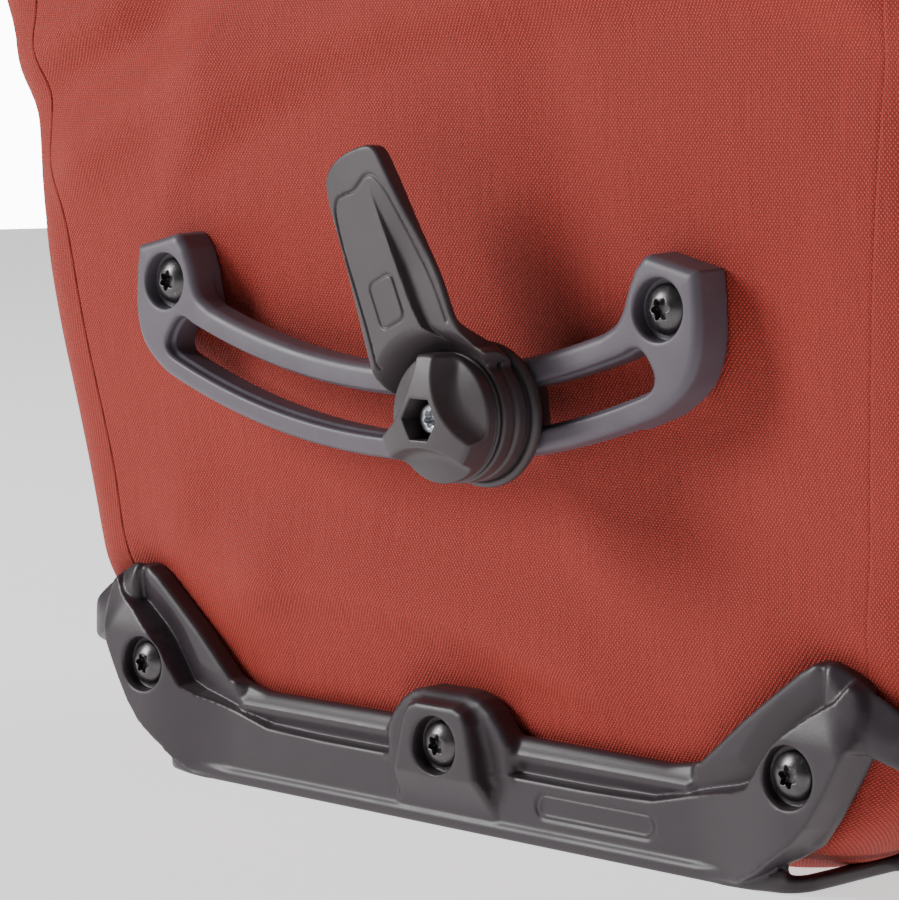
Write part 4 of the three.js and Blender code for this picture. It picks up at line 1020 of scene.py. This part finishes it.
class Shader:
    """A procedural material under construction. Lengths in its textures are millimetres."""

    def __init__(self, name, **sockets):
        self.material = bpy.data.materials.new(name)
        self.material.use_nodes = True
        self.tree = self.material.node_tree
        self.surface = self.tree.nodes["Principled BSDF"]
        for socket, value in sockets.items():
            self.feed(self.surface, socket.replace("_", " "), value)
        self.place = self.scaled(self.add("ShaderNodeTexCoord").outputs["Object"], 1000)

    def feed(self, node, socket, value):
        if isinstance(value, bpy.types.NodeSocket):
            self.tree.links.new(value, node.inputs[socket])
        else:
            node.inputs[socket].default_value = value

    def add(self, kind, inputs=None, **settings):
        node = self.tree.nodes.new(kind)
        for key, value in settings.items():
            setattr(node, key, value)
        for socket, value in (inputs or {}).items():
            self.feed(node, socket, value)
        return node

    def math(self, operation, a, b=0.0):
        return self.add("ShaderNodeMath", {0: a, 1: b}, operation=operation).outputs[0]

    def times(self, a, b):
        return self.math("MULTIPLY", a, b)

    def plus(self, a, b):
        return self.math("ADD", a, b)

    def wave(self, place, half_pitch):
        return self.math("SINE", self.times(place, math.pi / half_pitch))

    def threads(self):
        """The cloth's own coordinates: as a vector, and their first and second parts."""
        vector = self.add("ShaderNodeAttribute", attribute_name="thread").outputs["Vector"]
        split = self.add("ShaderNodeSeparateXYZ", {0: vector})
        return vector, split.outputs[0], split.outputs[1]

    def scaled(self, vector, factor):
        node = self.add("ShaderNodeVectorMath", {0: vector}, operation="SCALE")
        self.feed(node, "Scale", factor)
        return node.outputs[0]

    def stretched(self, vector, factors):
        return self.add("ShaderNodeVectorMath", {0: vector, 1: factors}, operation="MULTIPLY").outputs[0]

    def noise(self, size, detail=2.0, roughness=0.5, vector=None):
        """Smooth noise from 0 to 1 whose lumps are about size across."""
        inputs = {"Vector": self.place if vector is None else vector, "Scale": 1 / size, "Detail": detail,
                  "Roughness": roughness}
        return self.add("ShaderNodeTexNoise", inputs).outputs[0]

    def remap(self, value, low, high, to_low=0.0, to_high=1.0):
        inputs = {0: value, 1: low, 2: high, 3: to_low, 4: to_high}
        return self.add("ShaderNodeMapRange", inputs).outputs[0]

    def worn_edges(self, sharp, patches):
        """How worn the surface is: in patches, along edges of at least the given sharpness."""
        edge = self.add("ShaderNodeNewGeometry").outputs["Pointiness"]
        return self.times(self.remap(edge, 0.52, sharp), patches)

    def mix(self, amount, a, b):
        return self.add("ShaderNodeMix", {0: amount, 6: a, 7: b}, data_type="RGBA").outputs[2]

    def bump(self, height, depth, below=None):
        """Relief of a given depth in millimetres, on top of any earlier relief."""
        inputs = {"Height": height, "Distance": depth * MM, "Strength": 1.0}
        if below is not None:
            inputs["Normal"] = below
        return self.add("ShaderNodeBump", inputs).outputs[0]

    def set(self, socket, value):
        self.feed(self.surface, socket, value)


def rgb(r, g, b):
    return (r, g, b, 1.0)


def shade(colour, factor):
    return tuple(min(1.0, c * factor) for c in colour[:3]) + (1.0,)


def moulded_plastic(name, colour, roughness, grain=0.28, depth=0.012, edge=1.5):
    """Moulded plastic: a fine grain, cloudy gloss, paler worn edges and a few faint rubs."""
    m = Shader(name)
    cloud = m.noise(9.0, 4.0, 0.6)
    streak = m.noise(1.0, 3.0, 0.55, m.stretched(m.place, (0.16, 0.16, 1.1)))
    worn = m.worn_edges(0.6, m.remap(m.noise(3.5, 3.0), 0.35, 0.7, 0.15, 0.9))
    tone = m.mix(m.remap(cloud, 0.3, 0.7), shade(colour, 0.88), shade(colour, 1.12))
    m.set("Base Color", m.mix(worn, tone, shade(colour, edge)))
    rub = m.remap(streak, 0.62, 0.78, 0.0, 0.05)
    base = m.remap(cloud, 0.25, 0.75, roughness - 0.05, roughness + 0.05)
    m.set("Roughness", m.math("SUBTRACT", base, rub))
    fine = m.noise(grain, 1.0, 0.5)
    pits = m.add("ShaderNodeTexVoronoi", {"Vector": m.place, "Scale": 1 / (grain * 2.2)}).outputs[0]
    relief = m.bump(fine, depth)
    m.set("Normal", m.bump(pits, depth * 0.7, relief))
    return m.material


def coated_fabric():
    """Coarse plain weave with a soft coating: each crossing is a small pillow, with painted shade in the gaps
    between them.
    """
    m = Shader("coated_fabric", Sheen_Weight=0.1, Sheen_Roughness=0.5, Sheen_Tint=rgb(0.9, 0.35, 0.25),
               Specular_IOR_Level=0.28)
    thread, across, up = m.threads()
    wobble = m.noise(14.0, 3.0, 0.5)
    waves = [m.wave(across, 1), m.wave(up, 1)]
    ridges = [m.math("POWER", m.math("ABSOLUTE", wave), 0.6) for wave in waves]
    height = m.plus(m.times(m.times(*waves), 0.55), m.times(m.times(*ridges), 0.55))
    cell = m.add("ShaderNodeVectorMath", {0: thread}, operation="FLOOR").outputs[0]
    yarn = m.add("ShaderNodeTexWhiteNoise", {"Vector": cell}, noise_dimensions="2D").outputs[0]
    slub = m.noise(1.0, 2.0, 0.5, m.stretched(thread, (0.9, 0.03, 0.0)))
    fade = m.noise(60.0, 3.0, 0.6)
    # Painted shade: by the weave's height, the gaps between threads are coloured near-black and the thread
    # crowns get the full red.
    tone = m.mix(m.remap(height, -0.15, 0.75), rgb(0.02, 0.0018, 0.0016), rgb(0.62, 0.057, 0.038))
    tone = m.mix(m.times(yarn, 0.22), tone, rgb(0.29, 0.027, 0.019))
    tone = m.mix(m.remap(slub, 0.35, 0.7, 0.0, 0.22), tone, rgb(0.46, 0.058, 0.040))
    m.set("Base Color", m.mix(m.remap(fade, 0.35, 0.75, 0.0, 0.18), tone, rgb(0.35, 0.041, 0.029)))
    m.set("Roughness", m.remap(height, -0.5, 0.8, 0.82, 0.6))
    relief = m.bump(wobble, 0.25)
    m.set("Normal", m.bump(height, 0.2, relief))
    return m.material


def ripstop():
    m = Shader("pocket_fabric", Sheen_Weight=0.2, Sheen_Roughness=0.5)
    lines = []
    for run in m.threads()[1:]:
        fine, cord = (m.math("ABSOLUTE", m.wave(run, pitch)) for pitch in (1, 12))
        lines.append(m.plus(fine, m.remap(cord, 0.985, 1.0, 0.0, 1.4)))
    height = m.math("MAXIMUM", *lines)
    m.set("Base Color", m.mix(m.remap(height, 0.0, 2.0), rgb(0.02, 0.02, 0.023), rgb(0.07, 0.07, 0.078)))
    m.set("Roughness", m.remap(m.noise(20.0), 0.3, 0.7, 0.5, 0.62))
    m.set("Normal", m.bump(height, 0.05))
    return m.material


def webbing():
    """Woven tape: ribs across it, broken into a herringbone along its length."""
    m = Shader("webbing", Sheen_Weight=0.3, Sheen_Roughness=0.4)
    _, across, along = m.threads()
    twill = m.wave(m.plus(along, m.math("PINGPONG", across, 2.1)), 0.625)
    cords = m.math("ABSOLUTE", m.wave(across, 1.05))
    height = m.plus(m.times(twill, 0.5), cords)
    fibre = m.noise(0.25, 2.0)
    tone = m.mix(m.remap(height, -0.4, 1.4), rgb(0.006, 0.006, 0.007), rgb(0.034, 0.034, 0.037))
    m.set("Base Color", m.mix(m.remap(fibre, 0.4, 0.8, 0.0, 0.4), tone, rgb(0.05, 0.05, 0.054)))
    m.set("Roughness", m.remap(fibre, 0.3, 0.7, 0.62, 0.85))
    m.set("Normal", m.bump(height, 0.16))
    return m.material


def metal(name, colour, roughness, worn_colour, metallic=1.0, scratch=1.0):
    """Turned or pressed steel: fine tool lines, uneven sheen and brighter rubbed edges."""
    m = Shader(name, Metallic=metallic)
    worn = m.worn_edges(0.58, m.remap(m.noise(0.9, 3.0), 0.4, 0.65, 0.1, 0.8))
    cloud = m.noise(2.2, 4.0, 0.6)
    tone = m.mix(m.remap(cloud, 0.3, 0.7), shade(colour, 0.8), shade(colour, 1.2))
    m.set("Base Color", m.mix(worn, tone, worn_colour))
    m.set("Roughness", m.remap(cloud, 0.25, 0.75, roughness - 0.06, roughness + 0.08))
    lines = m.noise(0.35, 2.0, 0.5, m.stretched(m.place, (1.0, 0.2, 1.0)))
    m.set("Normal", m.bump(lines, 0.006 * scratch))
    return m.material


def board_plastic():
    m = Shader("board")
    cloud = m.noise(30.0, 4.0, 0.6)
    scratch = m.noise(1.2, 2.0, 0.5, m.stretched(m.place, (0.08, 1.0, 1.0)))
    m.set("Base Color", m.mix(cloud, rgb(0.026, 0.026, 0.029), rgb(0.05, 0.05, 0.055)))
    m.set("Roughness", m.remap(scratch, 0.3, 0.7, 0.42, 0.6))
    m.set("Normal", m.bump(scratch, 0.03, m.bump(cloud, 0.3)))
    return m.material


def reflector():
    """Retroreflective film: a honeycomb of small cells under a glossy face."""
    m = Shader("reflector", Metallic=0.65, Coat_Weight=0.6, Coat_Roughness=0.08)
    comb = {"Vector": m.place, "Scale": 0.42, "Randomness": 0.12}
    cells = m.add("ShaderNodeTexVoronoi", comb)
    edge = m.add("ShaderNodeTexVoronoi", comb, feature="DISTANCE_TO_EDGE").outputs[0]
    seam = m.remap(edge, 0.02, 0.07)
    tone = m.mix(m.remap(cells.outputs[0], 0.0, 0.6), rgb(0.62, 0.63, 0.66), rgb(0.42, 0.43, 0.46))
    m.set("Base Color", m.mix(seam, rgb(0.2, 0.2, 0.22), tone))
    m.set("Roughness", m.remap(m.noise(6.0, 3.0), 0.3, 0.7, 0.28, 0.42))
    m.set("Normal", m.bump(edge, 0.12))
    return m.material


RAIL_COLOUR = rgb(0.088, 0.074, 0.092)
GUARD_COLOUR = rgb(0.026, 0.0185, 0.0235)
ANCHOR_COLOUR = rgb(0.046, 0.035, 0.039)


def build_materials():
    return {
        "coated_fabric": coated_fabric(),
        "pocket_fabric": ripstop(),
        "webbing": webbing(),
        "board": board_plastic(),
        "rail_plastic": moulded_plastic("rail_plastic", RAIL_COLOUR, 0.46, 0.22, 0.006, 1.35),
        "protector_plastic": moulded_plastic("protector_plastic", GUARD_COLOUR, 0.43, 0.3, 0.012, 1.7),
        "anchor_plastic": moulded_plastic("anchor_plastic", ANCHOR_COLOUR, 0.47, 0.26, 0.014, 1.6),
        "insert_plastic": moulded_plastic("insert_plastic", rgb(0.065, 0.065, 0.07), 0.5),
        "handle_plastic": moulded_plastic("handle_plastic", rgb(0.02, 0.02, 0.021), 0.62, 0.5, 0.03),
        "black_plastic": moulded_plastic("black_plastic", rgb(0.018, 0.018, 0.019), 0.42),
        "black_steel": metal("black_steel", rgb(0.09, 0.085, 0.088), 0.3, rgb(0.24, 0.23, 0.23), 0.9),
        "zinc_steel": metal("zinc_steel", rgb(0.58, 0.59, 0.62), 0.3, rgb(0.75, 0.76, 0.78), 1.0, 1.6),
        "reflector": reflector(),
    }


def wear(obj, materials, slot):
    """Gives a piece its slot's material."""
    obj.data.materials.clear()
    obj.data.materials.append(materials[slot])


# ---- camera, floor and light ----------------------------------------------------------------

CAMERA_PLACE = (0.5024, -0.5826, 0.1553)
CAMERA_YAW = math.radians(43.7)      # from +Y towards -X
CAMERA_PITCH = math.radians(5.685)     # downwards
CAMERA_ROLL = math.radians(0.39)
CAMERA_LENS = 135.2


def add_camera():
    level = math.cos(CAMERA_PITCH)
    forward = Vector((-math.sin(CAMERA_YAW) * level, math.cos(CAMERA_YAW) * level, -math.sin(CAMERA_PITCH)))
    right = forward.cross(Vector((0, 0, 1))).normalized()
    up = right.cross(forward)
    c, s = math.cos(CAMERA_ROLL), math.sin(CAMERA_ROLL)
    placed = Matrix((right * c + up * s, up * c - right * s, -forward)).transposed().to_4x4()
    placed.translation = CAMERA_PLACE
    camera = bpy.data.objects.new("camera", bpy.data.cameras.new("camera"))
    camera.data.lens = CAMERA_LENS
    camera.matrix_world = placed
    bpy.context.scene.collection.objects.link(camera)
    bpy.context.scene.camera = camera


def add_softbox(name, place, target, size, power):
    lamp = bpy.data.lights.new(name, "AREA")
    lamp.shape = "RECTANGLE"
    lamp.size, lamp.size_y = size
    lamp.energy = power
    softbox = bpy.data.objects.new(name, lamp)
    direction = Vector(target) - Vector(place)
    softbox.matrix_world = Matrix.Translation(place) @ direction.to_track_quat("-Z", "Y").to_matrix().to_4x4()
    bpy.context.scene.collection.objects.link(softbox)


def add_studio():
    """A pale floor, one large softbox on the left, weaker fills and a bright surround."""
    half = 3.0
    corners = [(-half, -half, 0), (half, -half, 0), (half, half, 0), (-half, half, 0)]
    floor = make_object("floor", np.array(corners) / MM, [(0, 1, 2, 3)])
    shader = Shader("floor_paper", Roughness=0.8, Emission_Color=rgb(1.0, 1.0, 1.0), Emission_Strength=0.95)
    shader.set("Base Color", shader.mix(shader.noise(120.0, 4.0), rgb(0.86, 0.86, 0.86), rgb(0.9, 0.9, 0.9)))
    shader.set("Normal", shader.bump(shader.noise(0.8, 3.0), 0.05))
    floor.data.materials.append(shader.material)
    centre = (0.0, -0.05, 0.12)
    add_softbox("key", (-1.15, -1.3, 0.85), centre, (0.65, 0.8), 38)
    add_softbox("back", (0.6, 1.7, 1.2), (0, 0.1, 0.2), (1.4, 1.0), 12)
    world = bpy.data.worlds.new("surround")
    bpy.context.scene.world = world
    world.use_nodes = True
    nodes, links = world.node_tree.nodes, world.node_tree.links
    seen = nodes.new("ShaderNodeLightPath").outputs["Is Camera Ray"]
    strength = nodes.new("ShaderNodeMapRange")
    strength.inputs["To Min"].default_value = 0.12
    strength.inputs["To Max"].default_value = 12.0
    links.new(seen, strength.inputs["Value"])
    links.new(strength.outputs[0], nodes["Background"].inputs["Strength"])
    nodes["Background"].inputs["Color"].default_value = rgb(1.0, 1.0, 1.0)


# ---- assembly -------------------------------------------------------------------------------

# (node, slot, body, grid step, edge rounding, inner fillet) of the nodes kept from the CAD model,
# where a star stands for left and for right
MOULDED = (
    ("upper_rail", "rail_plastic", "root", 0.45, 0.9, 0.4),
    ("rail_cap_*", "rail_plastic", "root", 0.3, 1.6, 0.0),
    ("rack_hook_*", "black_plastic", "rack_hook_*", 0.35, 0.9, 0.3),
    ("hook_insert_*", "insert_plastic", "rack_hook_*", 0.2, 0.35, 0.0),
    ("latch_*", "anchor_plastic", "latch_*", 0.25, 0.6, 0.2),
    ("latch_pin_*", "zinc_steel", "rack_hook_*", 0.15, 0.4, 0.0),
    ("carry_handle", "handle_plastic", "carry_handle", 0.45, 1.1, 0.0),
    ("buckle_female_*", "black_plastic", "root", 0.25, 0.8, 0.0),
    ("buckle_male_*", "black_plastic", "buckle_male_*", 0.25, 0.8, 0.0),
    ("front_reflector", "reflector", "root", 0.25, 0.4, 0.0),
    ("back_board", "board", "root", 0.5, 0.6, 0.0),
    ("closure_batten", "board", "root", 0.4, 0.7, 0.0),
)

# (maker, node, slot, body) of the pieces shaped here
MADE = (
    (build_lower_rail, "lower_rail", "rail_plastic", "root"),
    (build_edge_protector, "edge_protector", "protector_plastic", "root"),
    (build_anchor_carriage, "anchor_carriage", "anchor_plastic", "anchor_carriage"),
    (build_anchor_bolt, "anchor_bolt", "zinc_steel", "anchor_carriage"),
    (build_anchor_hook, "anchor_hook", "anchor_plastic", "anchor_hook"),
    (build_anchor_knob, "anchor_knob", "anchor_plastic", "anchor_knob"),
)
SEWN = (
    (build_back_panel, "back_panel", "coated_fabric", "root"),
    (build_wrap_panel, "wrap_panel", "coated_fabric", "root"),
    (build_base_panel, "base_panel", "coated_fabric", "root"),
    (build_collar, "collar", "coated_fabric", "root"),
    (build_roll_top, "roll_top", "coated_fabric", "root"),
    (build_inner_pocket, "inner_pocket", "pocket_fabric", "root"),
)


def stand_in(piece, materials, node, slot, body):
    """A piece wears its slot's material, stands for its node and moves with its body."""
    wear(piece, materials, slot)
    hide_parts(node)
    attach(piece, body)


def add_made(materials, makers):
    for make, node, slot, body in makers:
        stand_in(make(), materials, node, slot, body)


def add_fasteners(materials):
    for pieces, slot in ((build_screws(), "black_steel"), (build_nuts(), "zinc_steel")):
        for node, piece in pieces.items():
            stand_in(piece, materials, node, slot, "root")


def add_kept_nodes(materials):
    for node, slot, body, step, rounding, fillet in MOULDED:
        for side in ("left", "right") if "*" in node else ("",):
            named = node.replace("*", side)
            piece = moulded_node(named, step, rounding, fillet)
            stand_in(piece, materials, named, slot, body.replace("*", side))


add_camera()
add_studio()
slots = build_materials()
add_made(slots, MADE)
add_fasteners(slots)
add_kept_nodes(slots)
add_made(slots, SEWN)
for webbing_strap in build_straps():
    wear(webbing_strap, slots, "webbing")
